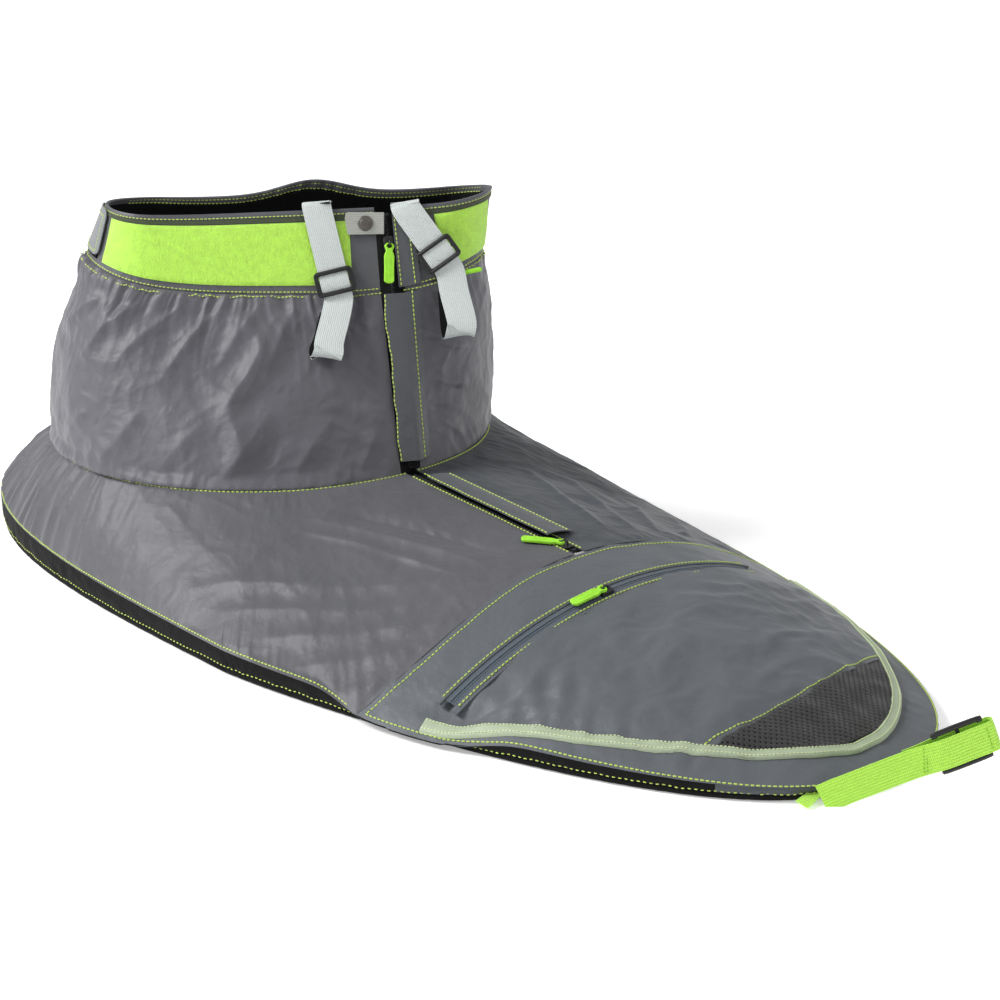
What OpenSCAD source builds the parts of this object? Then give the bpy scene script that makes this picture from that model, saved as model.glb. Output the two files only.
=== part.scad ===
// Kayak spray skirt: a tent-shaped deck with an elastic hem that grips the cockpit rim,
// and a zipped waist tunnel with an adjustable waistband and suspenders.
// +X is the bow, +Y is port and +Z is up. The origin is in the plane of the hem,
// on the centre line, where the deck is widest. Lengths are in millimetres.

/* [Deck] */
// Half the width of the deck at its widest
deck_half_w = 275; // [250:1:300]
// Length from the widest section to the bow
bow_len = 535; // [500:1:560]
// Length from the widest section to the stern
stern_len = 582; // [560:1:600]
// Height of the hem seam at the stern
stern_rand_h = 35; // [28:1:40]
// Height of the hem seam at the bow
bow_rand_h = 13; // [13:1:16]
// Height of the deck where it meets the front of the tunnel
peak_h = 112; // [105:1:120]
// Thickness of the coated deck fabric and its lining
fabric_t = 2; // [1.5:0.1:2.4]

/* [Tunnel] */
// Radius of the seam between tunnel and deck
seam_r = 221; // [210:1:230]
// Distance of the tunnel's centre behind the widest section
tunnel_back = 288; // [280:1:295]
// Direction that the flattened waist faces, in degrees from the bow
waist_turn = -41.7; // [-45:0.1:-38]
// Half the width of the waistband
waist_a = 190; // [180:1:195]
// Half the depth of the waistband
waist_b = 50; // [44:1:56]
// Height of the top edge where the zip ends
top_h = 351; // [345:1:360]
// Outward swell of the tunnel fabric
swell = 24; // [10:1:28]

/* [Webbing and trim] */
// Width of the suspender elastic
strap_w = 28; // [25:1:30]
// Width of the grab loop webbing
grab_w = 26; // [25:0.5:30]
// Width of the reflective tape
reflect_w = 9; // [7:0.5:11]
// Diameter of the shock cord in the hem
cord_d = 5; // [4:0.5:5.5]

/* [Zips] */
// Width of the zip coil
coil_w = 3; // [2.5:0.5:3]
// Length of a slider body
slider_len = 15; // [12:1:18]
// Length of a rubber pull
pull_len = 40; // [35:1:44]
// Diameter of the snap cap
snap_d = 15; // [12:0.5:15]

/* [Hidden] */

GREY = [0.46, 0.46, 0.48];
DARK_GREY = [0.42, 0.42, 0.44];
BLACK = [0.15, 0.15, 0.15];
LIME = [0.62, 0.92, 0.20];
SILVER = [0.77, 0.79, 0.78];
REFLECTIVE = [0.78, 0.83, 0.72];

gap = 0.4;
bow_n = 1.26;
bow_m = 2.45;
stern_n = 3.1;
peak_q = 1.82;
arch_q = 2.1;
peak_x = seam_r - tunnel_back;
panel_x = 169;
zip_half = 6;

// ---------- vectors ----------
function mix(a, b, t) = a + (b - a) * t;
function unit(v) = v / norm(v);
function flat(list) = [for (row = list) for (item = row) item];
function clamp(v, lo, hi) = max(lo, min(hi, v));

// ---------- shells made from a grid of points ----------
// The grid's outward normal is (step along i) x (step along j).
function step_i(g, i, j, wrap) =
  let (n = len(g))
  wrap ? g[(i + 1) % n][j] - g[(i + n - 1) % n][j]
       : g[min(i + 1, n - 1)][j] - g[max(i - 1, 0)][j];
function step_j(g, i, j) =
  let (n = len(g[0]))
  g[i][min(j + 1, n - 1)] - g[i][max(j - 1, 0)];
function shift_grid(g, d, wrap = false) = [
  for (i = [0:len(g) - 1]) [
    for (j = [0:len(g[0]) - 1])
      g[i][j] + d * unit(cross(step_i(g, i, j, wrap), step_j(g, i, j)))]];

module between(top, low, wrap = false) {
  n = len(top);
  m = len(top[0]);
  last = wrap ? n - 1 : n - 2;
  function a(i, j) = (i % n) * m + j;
  function b(i, j) = n * m + a(i, j);
  skins = [for (i = [0:last]) for (j = [0:m - 2]) each [
    [a(i, j), a(i, j + 1), a(i + 1, j + 1)], [a(i, j), a(i + 1, j + 1), a(i + 1, j)],
    [b(i, j), b(i + 1, j), b(i + 1, j + 1)], [b(i, j), b(i + 1, j + 1), b(i, j + 1)]]];
  rims = [for (i = [0:last]) each [
    [b(i, 0), a(i, 0), a(i + 1, 0)], [b(i, 0), a(i + 1, 0), b(i + 1, 0)],
    [b(i, m - 1), b(i + 1, m - 1), a(i + 1, m - 1)],
    [b(i, m - 1), a(i + 1, m - 1), a(i, m - 1)]]];
  ends = wrap ? [] : [for (j = [0:m - 2]) each [
    [b(0, j + 1), a(0, j + 1), a(0, j)], [b(0, j + 1), a(0, j), b(0, j)],
    [b(n - 1, j), a(n - 1, j), a(n - 1, j + 1)],
    [b(n - 1, j), a(n - 1, j + 1), b(n - 1, j + 1)]]];
  polyhedron(points = concat(flat(top), flat(low)), faces = concat(skins, rims, ends));
}

// A layer from height lo to height hi above the grid.
module layer(g, lo, hi, wrap = false) {
  between(shift_grid(g, hi, wrap), shift_grid(g, lo, wrap), wrap);
}

// A flat strap along a path of [centre, width direction] stations.
module strap(stations, w, t) {
  g = [for (s = stations) [s[0] - unit(s[1]) * w / 2, s[0] + unit(s[1]) * w / 2]];
  layer(g, -t / 2, t / 2);
}

// ---------- deck surface ----------
// A point on the outline: a = 0 at the bow, 90 at the port widest point, 180 at the stern.
function outline(a, inset = 0) =
  let (c = cos(a), s = sin(a), w = deck_half_w - inset)
  c >= 0
    ? [(bow_len - inset) * pow(c, 2 / bow_n), sign(s) * w * pow(abs(s), 2 / bow_m)]
    : [-(stern_len - inset) * pow(-c, 2 / stern_n),
       sign(s) * w * pow(abs(s), 2 / stern_n)];
function half_w(x) = x >= 0
  ? deck_half_w * pow(1 - pow(min(x / bow_len, 1), bow_n), 1 / bow_m)
  : deck_half_w * pow(1 - pow(min(-x / stern_len, 1), stern_n), 1 / stern_n);
function rim_z(x) = mix(stern_rand_h, bow_rand_h, (x + stern_len) / (stern_len + bow_len));
function ridge_z(x) =
  bow_rand_h + (peak_h - bow_rand_h)
    * (1 - pow(clamp((x - peak_x) / (bow_len - peak_x), 0, 1), peak_q));
function deck_z(x, y) =
  rim_z(x) + (ridge_z(x) - rim_z(x)) * (1 - pow(min(abs(y) / max(half_w(x), 1), 1), arch_q));
function on_deck(x, y) = [x, y, deck_z(x, y)];

// The seam between main deck and front deck, for r from -1 at starboard to 1 at port.
function panel_seam_x(r) = panel_x + 35 * r * r - 38 * pow(r, 4);
// A row of the front deck: k = 0 at that seam and 1 at the bow.
function bow_row(x0, k, r, edge) =
  let (a0 = acos(pow(x0 / bow_len, bow_n / 2)), a = mix(a0, 1.5, k))
  [bow_len * pow(cos(a), 2 / bow_n), edge * r * deck_half_w * pow(sin(a), 2 / bow_m)];

// ---------- tunnel surface ----------
ACROSS = [sin(-waist_turn), cos(waist_turn), 0];
FACING = [cos(waist_turn), sin(waist_turn), 0];
CENTRE = [-tunnel_back, 0, 0];
zip_u = -waist_turn / 360;
waist_h = 272;
waist_side = 195;
waist_deep = 72;
waist_l = 20;
waist_s = 31;
top_l = 35;
top_s = 25;
top_twist = 0.0163;
far_arch = 14;

function base_z(x) = peak_h + 0.02 * (x - peak_x);
// A point at fraction u round a stadium, from the middle of its facing side to port.
function stadium(u, a, b) =
  let (f = a - b, p = 2 * PI * b + 4 * f, d = (u - floor(u)) * p)
  d < f ? [d, b]
  : d < f + PI * b ? let (w = (d - f) / b * 180 / PI) [f + b * sin(w), b * cos(w)]
  : d < 3 * f + PI * b ? [f - (d - f - PI * b), -b]
  : d < 3 * f + 2 * PI * b
    ? let (w = (d - 3 * f - PI * b) / b * 180 / PI) [-f - b * sin(w), -b * cos(w)]
  : [d - 4 * f - 2 * PI * b, b];
face_lean = (waist_s + waist_deep - top_s - waist_b) / (top_h - waist_h);
function place(l, s, z) = CENTRE + l * ACROSS + s * FACING + [0, 0, z];
function base_pt(u) =
  let (q = CENTRE + seam_r * (sin(360 * u) * ACROSS + cos(360 * u) * FACING))
  [q[0], q[1], base_z(q[0])];
function waist_pt(u) =
  let (q = stadium(u, waist_side, waist_deep), rise = 26 * pow(abs(q[0]) / waist_side, 3))
  place(q[0] + waist_l, q[1] + waist_s - face_lean * rise * q[1] / waist_deep,
        waist_h + rise);
function top_pt(u) =
  let (q = stadium(u - top_twist, waist_a, waist_b),
       far = far_arch * exp(-pow((q[0] - 10) / 45, 2)) - 4,
       rise = 0.04 * (q[0] - 87) + 6 * pow(q[0] / waist_a, 4),
       behind = clamp(-q[1] / waist_b, 0, 1))
  place(q[0] + top_l, q[1] + top_s - face_lean * rise * q[1] / waist_b,
        top_h + rise + far * behind);
// The fabric between the base seam (h = 0) and the waist seam (h = 1).
function tunnel_pt(u, h) =
  let (p = mix(base_pt(u), waist_pt(u), h),
       out = unit([p[0] - CENTRE[0], p[1] - CENTRE[1], 0]),
       free = min(1, 2.2 * pow(sin(180 * (u - zip_u)), 2)))
  p + out * swell * free * 2 * sqrt(max(h * (1 - h), 0));
function band_pt(u, h) = mix(waist_pt(u), top_pt(u), h);

// ---------- local frames ----------
zip_foot = base_pt(zip_u);
zip_head = top_pt(zip_u);
zip_dir = unit(zip_head - zip_foot);
zip_len = norm(zip_head - zip_foot);
zip_az = atan2(-zip_dir[0], zip_dir[1]);
zip_tilt = asin(zip_dir[2]);
zip_side = [cos(zip_az), sin(zip_az), 0];
zip_out = cross(zip_side, zip_dir);
// x to port across the zip, y up along it, z out of the tunnel
function zip_at(x, y, z) = zip_foot + x * zip_side + y * zip_dir + z * zip_out;
module on_zip() { translate(zip_foot) rotate([zip_tilt, 0, zip_az]) children(); }

band_low = place(waist_l, waist_s + waist_deep, waist_h);
band_high = place(waist_l, top_s + waist_b, top_h);
band_dir = unit(band_high - band_low);
band_tilt = asin(band_dir[2]);
band_len = norm(band_high - band_low);
// x to port along the waistband, y up its face, z out of it
module on_band() { translate(band_low) rotate([band_tilt, 0, 90 + waist_turn]) children(); }

deck_zip_foot = [peak_x + 6, 0, peak_h];
deck_zip_end = [panel_x - 6, 0, ridge_z(panel_x) + 0.5];
deck_zip_len = norm(deck_zip_end - deck_zip_foot);
deck_zip_dip = asin((deck_zip_foot[2] - deck_zip_end[2]) / deck_zip_len);
// x towards the bow along the zip, y to port, z up
module on_deck_zip() { translate(deck_zip_foot) rotate([0, deck_zip_dip, 0]) children(); }

pocket_x = 237;
pocket_rise = ridge_z(pocket_x) - rim_z(pocket_x);
pocket_r = (pow(half_w(pocket_x), 2) + pow(pocket_rise, 2)) / (2 * pocket_rise);
pocket_dip = 10;
pocket_zip_start = -28.5;
pocket_span = 48;
pocket_slider_at = 4.5;
// x up from the arc's axis, y to port, z towards the stern; turned by angle a to port
module on_pocket_arc(a) {
  translate([pocket_x, 0, ridge_z(pocket_x) - pocket_r]) rotate([0, -90, 0])
    rotate([0, 0, a]) children();
}

// ---------- deck ----------
seam_steps = 10;
rim_steps = 26;
corner_a = acos(pow(panel_seam_x(1) / bow_len, bow_n / 2));
// The outer edge of one side of the main deck: along the panel seam, then round the rim.
function deck_edge(side) = concat(
  [for (k = [0:seam_steps]) let (r = max(k / seam_steps, zip_half / half_w(panel_x)),
                                 x = panel_seam_x(r))
    on_deck(x - gap, side * r * half_w(x))],
  [for (k = [1:rim_steps]) let (a = mix(corner_a, 179.999, k / rim_steps),
                                p = outline(side * a))
    [p[0], p[1], rim_z(p[0])]]);
function deck_grid(side) =
  [for (e = deck_edge(side))
    let (turn = max(atan2(abs(e[1]), e[0] + tunnel_back), asin((zip_half + 1) / seam_r)),
         x = seam_r * cos(turn) - tunnel_back + 1.5 * cos(turn),
         y = side * (seam_r + 1.5) * sin(turn),
         s = [x, y, base_z(x)],
         crown = 9 * (1 - exp(-pow(turn / 25, 2))))
    [for (k = [0:7]) let (t = side > 0 ? 1 - k / 7 : k / 7)
      mix(s, e, t) + [0, 0, 4 * t * (1 - t) * crown]]];

module deck_starboard() { color(GREY) layer(deck_grid(-1), -fabric_t, 0); }
module deck_port() { color(DARK_GREY) layer(deck_grid(1), -fabric_t, 0); }

function front_grid(lo, hi, rows, cols) =
  [for (i = [0:rows]) [for (j = [0:cols])
    let (r = mix(-1, 1, j / cols), p = bow_row(panel_seam_x(r), mix(lo, hi, i / rows), r, 1))
    on_deck(p[0], p[1])]];
module front_deck() { color(DARK_GREY) layer(front_grid(0, 1, 16, 18), -fabric_t, 0); }

// ---------- hem ----------
hem_h = 8;
hem_in = 2;
hem_w = 9;
rand_gap = 0.4;
bow_gap = 1.8;
bow_patch_a = 24;
function rand_grid(a0, a1, steps, top_gap) =
  [for (k = [0:steps]) let (a = mix(a0, a1, k / steps), p = outline(a),
                            q = outline(a, hem_in), z = rim_z(p[0]) - fabric_t - top_gap)
    [for (j = [0:2]) [mix(q[0], p[0], j / 2), mix(q[1], p[1], j / 2),
                      mix(hem_h + rand_gap, z, j / 2)]]];
module rand() {
  color(BLACK) layer(rand_grid(bow_patch_a, 360 - bow_patch_a, 96, rand_gap), -fabric_t, 0);
}
module bow_rand_patch() {
  color(DARK_GREY)
    layer(rand_grid(-bow_patch_a + 0.3, bow_patch_a - 0.3, 16, bow_gap), -fabric_t, 0);
}

module hem_ring(outer, inner, h) {
  linear_extrude(h) difference() {
    polygon([for (a = [0:4:356]) outline(a, outer)]);
    polygon([for (a = [0:4:356]) outline(a, inner)]);
  }
}
module hem_casing() {
  color(BLACK) difference() {
    hem_ring(hem_in, hem_in + hem_w, hem_h);
    translate([0, 0, 1.2]) hem_ring(hem_in + 1.2, hem_in + hem_w - 1.2, hem_h - 2.4);
  }
}
function cord_ring() =
  [for (a = [0:4:356])
    let (c = outline(a, hem_in + hem_w / 2), q = outline(a, hem_in + hem_w / 2 + 1),
         out = unit([c[0] - q[0], c[1] - q[1], 0]))
    [for (k = [0:7]) let (w = -45 * k)
      [c[0], c[1], hem_h / 2] + cord_d / 2 * (cos(w) * out + [0, 0, sin(w)])]];
module shock_cord() {
  rings = cord_ring();
  n = len(rings);
  color(LIME) polyhedron(points = flat(rings), faces = [
    for (i = [0:n - 1]) for (k = [0:7])
      let (a = i * 8, b = ((i + 1) % n) * 8, k2 = (k + 1) % 8)
      each [[a + k, b + k, b + k2], [a + k, b + k2, a + k2]]]);
}

// ---------- front pocket ----------
pocket_tip = 506;
pocket_half_w = 228;
pocket_from = pocket_x - 24;
function pocket_w(x) =
  pocket_half_w * pow(1 - pow(clamp((x - pocket_from) / (pocket_tip - pocket_from), 0, 1), 1.2),
                      1 / 1.85);
// The front edge of the pocket's fabric, where its mesh begins.
function mesh_x(r) = 440 - 14 * r - 16 * r * r;
// A patch of the pocket between two lines across it.
function pocket_grid(from, to, rows, cols, inset) =
  [for (i = [0:rows]) [for (j = [0:cols])
    let (r = mix(-1, 1, j / cols), x = mix(from[j], to[j], i / rows))
    on_deck(x, r * max(pocket_w(x) - inset, 1.5))]];
pocket_cols = 16;
pocket_back_x = [for (j = [0:pocket_cols]) pocket_x + 7];
pocket_hem_x = [for (j = [0:pocket_cols]) mesh_x(mix(-1, 1, j / pocket_cols))];
pocket_tip_x = [for (j = [0:pocket_cols]) pocket_tip - 5];
module pocket_panel() {
  color(DARK_GREY) layer(pocket_grid(pocket_back_x, pocket_hem_x, 10, pocket_cols, 3), 2.2, 3.4);
}
module pocket_mesh() {
  start = [for (x = pocket_hem_x) x + 1];
  color(BLACK) layer(pocket_grid(start, pocket_tip_x, 8, pocket_cols, 3), 2.2, 3.2);
}
tape_start = 14;
function reflect_run(side) =
  [for (k = [0:22]) let (t = 1 - pow(1 - k / 22, 1.6),
                         x = mix(pocket_from + tape_start, pocket_tip - 1, t))
    [x, side * max(pocket_w(x), 0.01)]];
module reflective_tape() {
  run = concat(reflect_run(-1), [for (k = [1:22]) reflect_run(1)[22 - k]]);
  n = len(run);
  g = [for (i = [0:n - 1])
    let (d = unit(run[min(i + 1, n - 1)] - run[max(i - 1, 0)]), side = [-d[1], d[0]])
    [for (j = [0:1]) let (p = run[i] + side * reflect_w * (0.5 - j))
      on_deck(p[0], p[1])]];
  color(REFLECTIVE) layer([for (i = [0:n - 1]) g[n - 1 - i]], 3.8, 4.6);
}

module pocket_zip_tape() {
  color(BLACK) on_pocket_arc(pocket_zip_start) rotate_extrude(angle = pocket_span, $fn = 180)
    for (side = [-1, 1]) translate([pocket_r, 0]) rotate(-pocket_dip)
      translate([0.8, side > 0 ? 1.7 : -10.7]) square([0.8, 9]);
}
module pocket_zip_coil() {
  color(DARK_GREY) on_pocket_arc(pocket_zip_start) rotate_extrude(angle = pocket_span, $fn = 180)
    translate([pocket_r, 0]) rotate(-pocket_dip)
      translate([0.8, -coil_w / 2]) square([2.2, coil_w]);
}
// A slider straddles its coil: x along the zip, y across it, z away from the fabric.
// Its plate starts at height over, and its bridge turns to face the pull.
pin_up = 3.6;
module slider_body(over, turn) {
  difference() {
    union() {
      translate([-slider_len / 2, -5, over]) cube([slider_len, 10, 1.8]);
      for (side = [-1, 1]) translate([-slider_len / 2, side * 4.2 - 0.8, over - 1.2])
        cube([slider_len, 1.6, 1.5]);
      rotate([0, 0, turn]) translate([-1.6, -1.5, over + 1.5]) cube([3.2, 3, 3.5]);
    }
    rotate([0, 0, turn]) translate([0, 2, over + pin_up]) rotate([90, 0, 0])
      cylinder(h = 4, r = 1, $fn = 24);
  }
}
// A pull hangs from its pin at the origin and lies along +x.
pull_w = 10.4;
module pull_body() {
  rotate([90, 0, 0]) cylinder(h = 8, r = 0.8, center = true, $fn = 24);
  difference() {
    translate([-1, -pull_w / 2, -1.2]) cube([7, pull_w, 2.4]);
    translate([-2, -2, -2]) cube([4.6, 4, 4]);
  }
  translate([5.5, -pull_w / 2, -1.4]) difference() {
    cube([pull_len - 6, pull_w, 2.8]);
    translate([8, pull_w / 2 - 1, 2.1]) cube([18, 2, 1.2]);
  }
}
pocket_over = 3.4;
// x along the pocket zip to starboard, y to the bow, z out of the deck
module on_pocket_slider() {
  on_pocket_arc(-pocket_slider_at) translate([pocket_r, 0, 0])
    rotate([0, 90, 0]) rotate([0, 0, -90]) rotate([-pocket_dip, 0, 0]) children();
}
module pocket_slider() { color(BLACK) on_pocket_slider() slider_body(pocket_over, 0); }
module pocket_pull() {
  color(LIME) on_pocket_slider() translate([0, 0, pocket_over + pin_up]) rotate([0, 2, 0])
    pull_body();
}

// ---------- tunnel ----------
placket_half = 12;
base_len = seam_r * 2 * PI;
waist_len = 2 * PI * waist_deep + 4 * (waist_side - waist_deep);
// How far round the tunnel a distance to port of the zip is, at height h.
function beside_zip(d, h) = zip_u + d / mix(base_len, waist_len, h);
rear_u = zip_u + 0.5;
module tunnel_panel(side, steps) {
  g = [for (i = [0:steps]) [for (j = [0:6])
    let (h = j / 6, a = beside_zip(side * placket_half, h), b = side > 0 ? rear_u : rear_u - 1,
         t = side > 0 ? i / steps : 1 - i / steps)
    tunnel_pt(mix(a, b - side * 0.0006, t), mix(0.012, 0.985, h))]];
  layer(g, -fabric_t, 0);
}
module tunnel_starboard() { color(GREY) tunnel_panel(-1, 34); }
module tunnel_port() { color(GREY) tunnel_panel(1, 34); }

function ring_grid(u0, u1, h0, h1, steps, rows, out = 0) =
  shift_grid([for (i = [0:steps]) [for (j = [0:rows])
    band_pt(mix(u0, u1, i / steps), mix(h0, h1, j / rows))]], out);
band_from = beside_zip(placket_half, 1);
band_to = beside_zip(-placket_half, 1) + 1;
module waistband() {
  color(GREY) layer(ring_grid(band_from, band_to, 0.01, 0.985, 72, 3), -fabric_t, 0);
}
module waist_elastic() {
  color(BLACK) layer(ring_grid(0.24, 0.80, 0.12, 0.88, 44, 1), -fabric_t - 2.4, -fabric_t - 1);
}
module top_binding() {
  color(DARK_GREY) layer(ring_grid(band_from + 0.001, band_to - 0.001, 0.90, 0.985, 72, 1),
                         gap, gap + 1);
}
patch_lo = 0.10;
patch_hi = 0.86;
module loop_patch_starboard() {
  color(LIME) layer(ring_grid(0.807, 1.075, patch_lo, patch_hi, 22, 2), gap, 2);
}
module loop_patch_port() {
  color(LIME) layer(ring_grid(0.168, 0.245, patch_lo, patch_hi, 10, 2), gap, 2);
}
tab_from = 0.752;
tab_to = 0.800;
module waist_hook_tab() {
  color(SILVER * 0.7) layer(ring_grid(tab_from, tab_to, 0.14, 0.96, 6, 2), 2.2, 3.6);
}
module hook_patch() {
  color(BLACK) layer(ring_grid(tab_from + 0.004, tab_to - 0.004, 0.1, 0.84, 6, 2), gap, 1.6);
}

// ---------- main zip ----------
tape_w = 8.8;
module zip_tapes(len) {
  for (side = [-1, 1]) translate([side > 0 ? 1.8 : -1.8 - tape_w, 0, -3.4])
    cube([tape_w, len, 0.8]);
}
module zip_coil(len) { translate([-coil_w / 2, 0, -3.6]) cube([coil_w, len, 2.2]); }
tunnel_zip_from = 3;
tunnel_zip_len = zip_len - 8;
module tunnel_zip_tape() {
  color(BLACK) on_zip() translate([0, tunnel_zip_from, 0]) zip_tapes(tunnel_zip_len);
}
module tunnel_zip_coil() {
  color(DARK_GREY) on_zip() translate([0, tunnel_zip_from, 0]) zip_coil(tunnel_zip_len);
}
module deck_zip_tape() {
  color(BLACK) on_deck_zip() rotate([0, 0, -90]) zip_tapes(deck_zip_len);
}
module deck_zip_coil() {
  color(DARK_GREY) on_deck_zip() rotate([0, 0, -90]) zip_coil(deck_zip_len);
}
module zip_stop() { translate([-2.5, -1, -1.1]) cube([5, 2, 1.6]); }
module zip_stops() {
  color(BLACK) {
    on_zip() translate([0, tunnel_zip_len + 1, 0]) zip_stop();
    on_deck_zip() translate([deck_zip_len - 1.5, 0, 0]) rotate([0, 0, 90]) zip_stop();
  }
}
slider_over = -1.0;
tunnel_slider_y = zip_len - 35.5;
deck_slider_x = deck_zip_len - 14;
tunnel_pull_turn = -96;
deck_pull_turn = 222;
module tunnel_slider() {
  color(BLACK) on_zip() translate([0, tunnel_slider_y, 0]) rotate([0, 0, -90])
    slider_body(slider_over, tunnel_pull_turn + 90);
}
module tunnel_pull() {
  color(LIME) on_zip() translate([0, tunnel_slider_y, slider_over + pin_up])
    rotate([0, 0, tunnel_pull_turn]) pull_body();
}
module deck_slider() {
  color(BLACK) on_deck_zip() translate([deck_slider_x, 0, 0])
    slider_body(slider_over, deck_pull_turn);
}
module deck_pull() {
  color(LIME) on_deck_zip() translate([deck_slider_x, 0, slider_over + pin_up])
    rotate([0, 0, deck_pull_turn]) pull_body();
}

// ---------- storm flaps ----------
// A flap is flat over the slider's path and comes down to the fabric at its sewn edge.
flap_sewn = 26;
flap_free = 5;
flap_flat = 8;
flap_rise = 5.8;
flap_lift = 1;
flap_t = 1.2;
flap_steps = 10;
waist_seam_y = norm(waist_pt(zip_u) - zip_foot);
function tunnel_flap_row(h) =
  [zip_at(-flap_free, h * waist_seam_y, flap_rise), zip_at(flap_flat, h * waist_seam_y, flap_rise),
   tunnel_pt(beside_zip(flap_sewn, h), h) + flap_lift * zip_out];
tunnel_flap_grid = [for (c = [0:2]) [for (k = [0:flap_steps])
  tunnel_flap_row(mix(0.08, 0.97, k / flap_steps))[c]]];
module tunnel_flap() { color(DARK_GREY) layer(tunnel_flap_grid, -flap_t / 2, flap_t / 2); }

deck_flap_from = 26;
deck_flap_to = deck_slider_x - 17;
module deck_flap() {
  g = [for (k = [0:flap_steps]) let (x = mix(deck_flap_from, deck_flap_to, k / flap_steps))
    [[x, -flap_free, flap_rise], [x, flap_flat, flap_rise], [x, flap_sewn, flap_lift]]];
  color(DARK_GREY) on_deck_zip() layer(g, -flap_t / 2, flap_t / 2);
}
// The fixed top of the tunnel's flap, sewn along the waistband.
placket_from = 7;
module band_placket() {
  color(DARK_GREY)
    layer(ring_grid(beside_zip(placket_from, 1), beside_zip(flap_sewn, 1), 0.02, 0.89, 4, 3),
          gap, gap + flap_t);
}

// ---------- snap tab ----------
snap_mid = [83, 68];
tab_len = 38;
tab_w = 22;
module snap_tab() {
  color(SILVER) on_band() difference() {
    translate([snap_mid[0] - 20, snap_mid[1] - tab_w / 2, 2.4]) cube([tab_len, tab_w, 1.4]);
    translate([snap_mid[0], snap_mid[1], 0]) cylinder(h = 9, r = 2.6, $fn = 32);
  }
}
module snap_cap() {
  color([0.32, 0.30, 0.27]) on_band() translate([snap_mid[0], snap_mid[1], 0]) {
    translate([0, 0, 3.8]) cylinder(h = 2, r = snap_d / 2, $fn = 48);
    translate([0, 0, 1.9]) cylinder(h = 2, r = 2.4, $fn = 32);
  }
}
module snap_stud() {
  color([0.32, 0.30, 0.27]) on_band() translate([snap_mid[0], snap_mid[1], 0.2]) {
    cylinder(h = 0.6, r = 5, $fn = 32);
    cylinder(h = 1.5, r = 2, $fn = 32);
  }
}

// ---------- suspenders ----------
strap_t = 1.4;
strap_z = 5.6;
loop_gap = 9;
// Across, up: top of the strap, lower end of its straight run, middle of its loop's end.
starboard_run = [[36, band_len], [57.4, -4], [50, -62]];
port_run = [[121, band_len], [165.5, 22], [176, -40]];
// How steeply the fabric below the waist seam stands out under the starboard loop
starboard_swell = 0.3;
swell_from = 6;
function across(a, b) = let (d = unit(a - b)) [-d[1], d[0], 0] * -1;
// Stations of a suspender: over the top edge, down the face, round the loop and back up.
function suspender(run) =
  let (top = run[0], mid = run[1], end = run[2],
       w0 = [1, 0, 0], w1 = across(top, mid), w2 = across(mid, end), half = loop_gap / 2)
  concat(
    [[[top[0], band_len + 3.5, -2.5], w0], [[top[0], band_len + 5, 0.5], w0],
     [[top[0], band_len + 3.4, 4], w0], [[top[0], band_len - 1, strap_z], w1],
     [[mid[0], mid[1], strap_z], w1],
     [[mix(mid[0], end[0], 0.2), mix(mid[1], end[1], 0.2), strap_z + 2], w2],
     [[end[0], end[1] + 8, strap_z + half + 3], w2]],
    [for (a = [0:30:180]) [[end[0], end[1] + 4 - half * sin(a), strap_z + 3 + half * cos(a)], w2]],
    [[[mix(mid[0], end[0], 0.6), mix(mid[1], end[1], 0.6), strap_z - 1.5], w2],
     [[mix(mid[0], end[0], 0.3), mix(mid[1], end[1], 0.3), strap_z - 2.2], w2]]);
module suspender_starboard() {
  clear = [for (s = suspender(starboard_run))
    [s[0] + [0, 0, starboard_swell * max(0, -s[0][1] - swell_from)], s[1]]];
  color(SILVER) on_band() strap(clear, strap_w, strap_t);
}
module suspender_port() {
  color(SILVER) on_band() strap(suspender(port_run), strap_w, strap_t);
}
tail_w = 18;
// The sewn ends of both suspenders, inside the waistband.
module suspender_tails() {
  color(SILVER) on_band() for (run = [starboard_run, port_run])
    translate([run[0][0] + strap_w / 2 - tail_w, band_len - 24, -4.4]) cube([tail_w, 22, strap_t]);
}

// A frame with its bar behind the strap: x across the strap, y along it.
glide_w = 38;
glide_h = 25;
glide_rail = 3.6;
module triglide() {
  color(BLACK) {
    for (side = [-1, 1]) {
      translate([side * (glide_w - glide_rail) / 2, 0, 0.2])
        cube([glide_rail, glide_h, 5.6], center = true);
      translate([0, side * (glide_h / 2 - 2), 2.5]) rotate([0, 90, 0])
        cylinder(h = glide_w - 4, r = 1.5, center = true, $fn = 24);
    }
    translate([0, 0, -2]) cube([glide_w - 4, 5, 2], center = true);
  }
}
// The place of a tri-glide at height y on the straight run of a strap.
module on_strap(run, y) {
  lean = atan2(run[1][0] - run[0][0], run[0][1] - run[1][1]);
  on_band() translate([run[0][0] + (run[0][1] - y) * tan(lean), y, strap_z])
    rotate([0, 0, lean]) children();
}
module triglide_starboard() { on_strap(starboard_run, 11) triglide(); }
module triglide_port() { on_strap(port_run, 38) triglide(); }

// The rubber grip on the end of the waistband's own cord, beside the port tri-glide.
toggle_len = 20;
module waist_toggle() {
  color(LIME) on_band() translate([176, 20, 0]) rotate([0, 0, 12]) {
    translate([0, 0, 2.4]) rotate([0, 90, 0]) cylinder(h = toggle_len, r = 1.9, $fn = 24);
    translate([-5, -3.5, 0.4]) cube([5, 7, 3.6]);
  }
}

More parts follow.
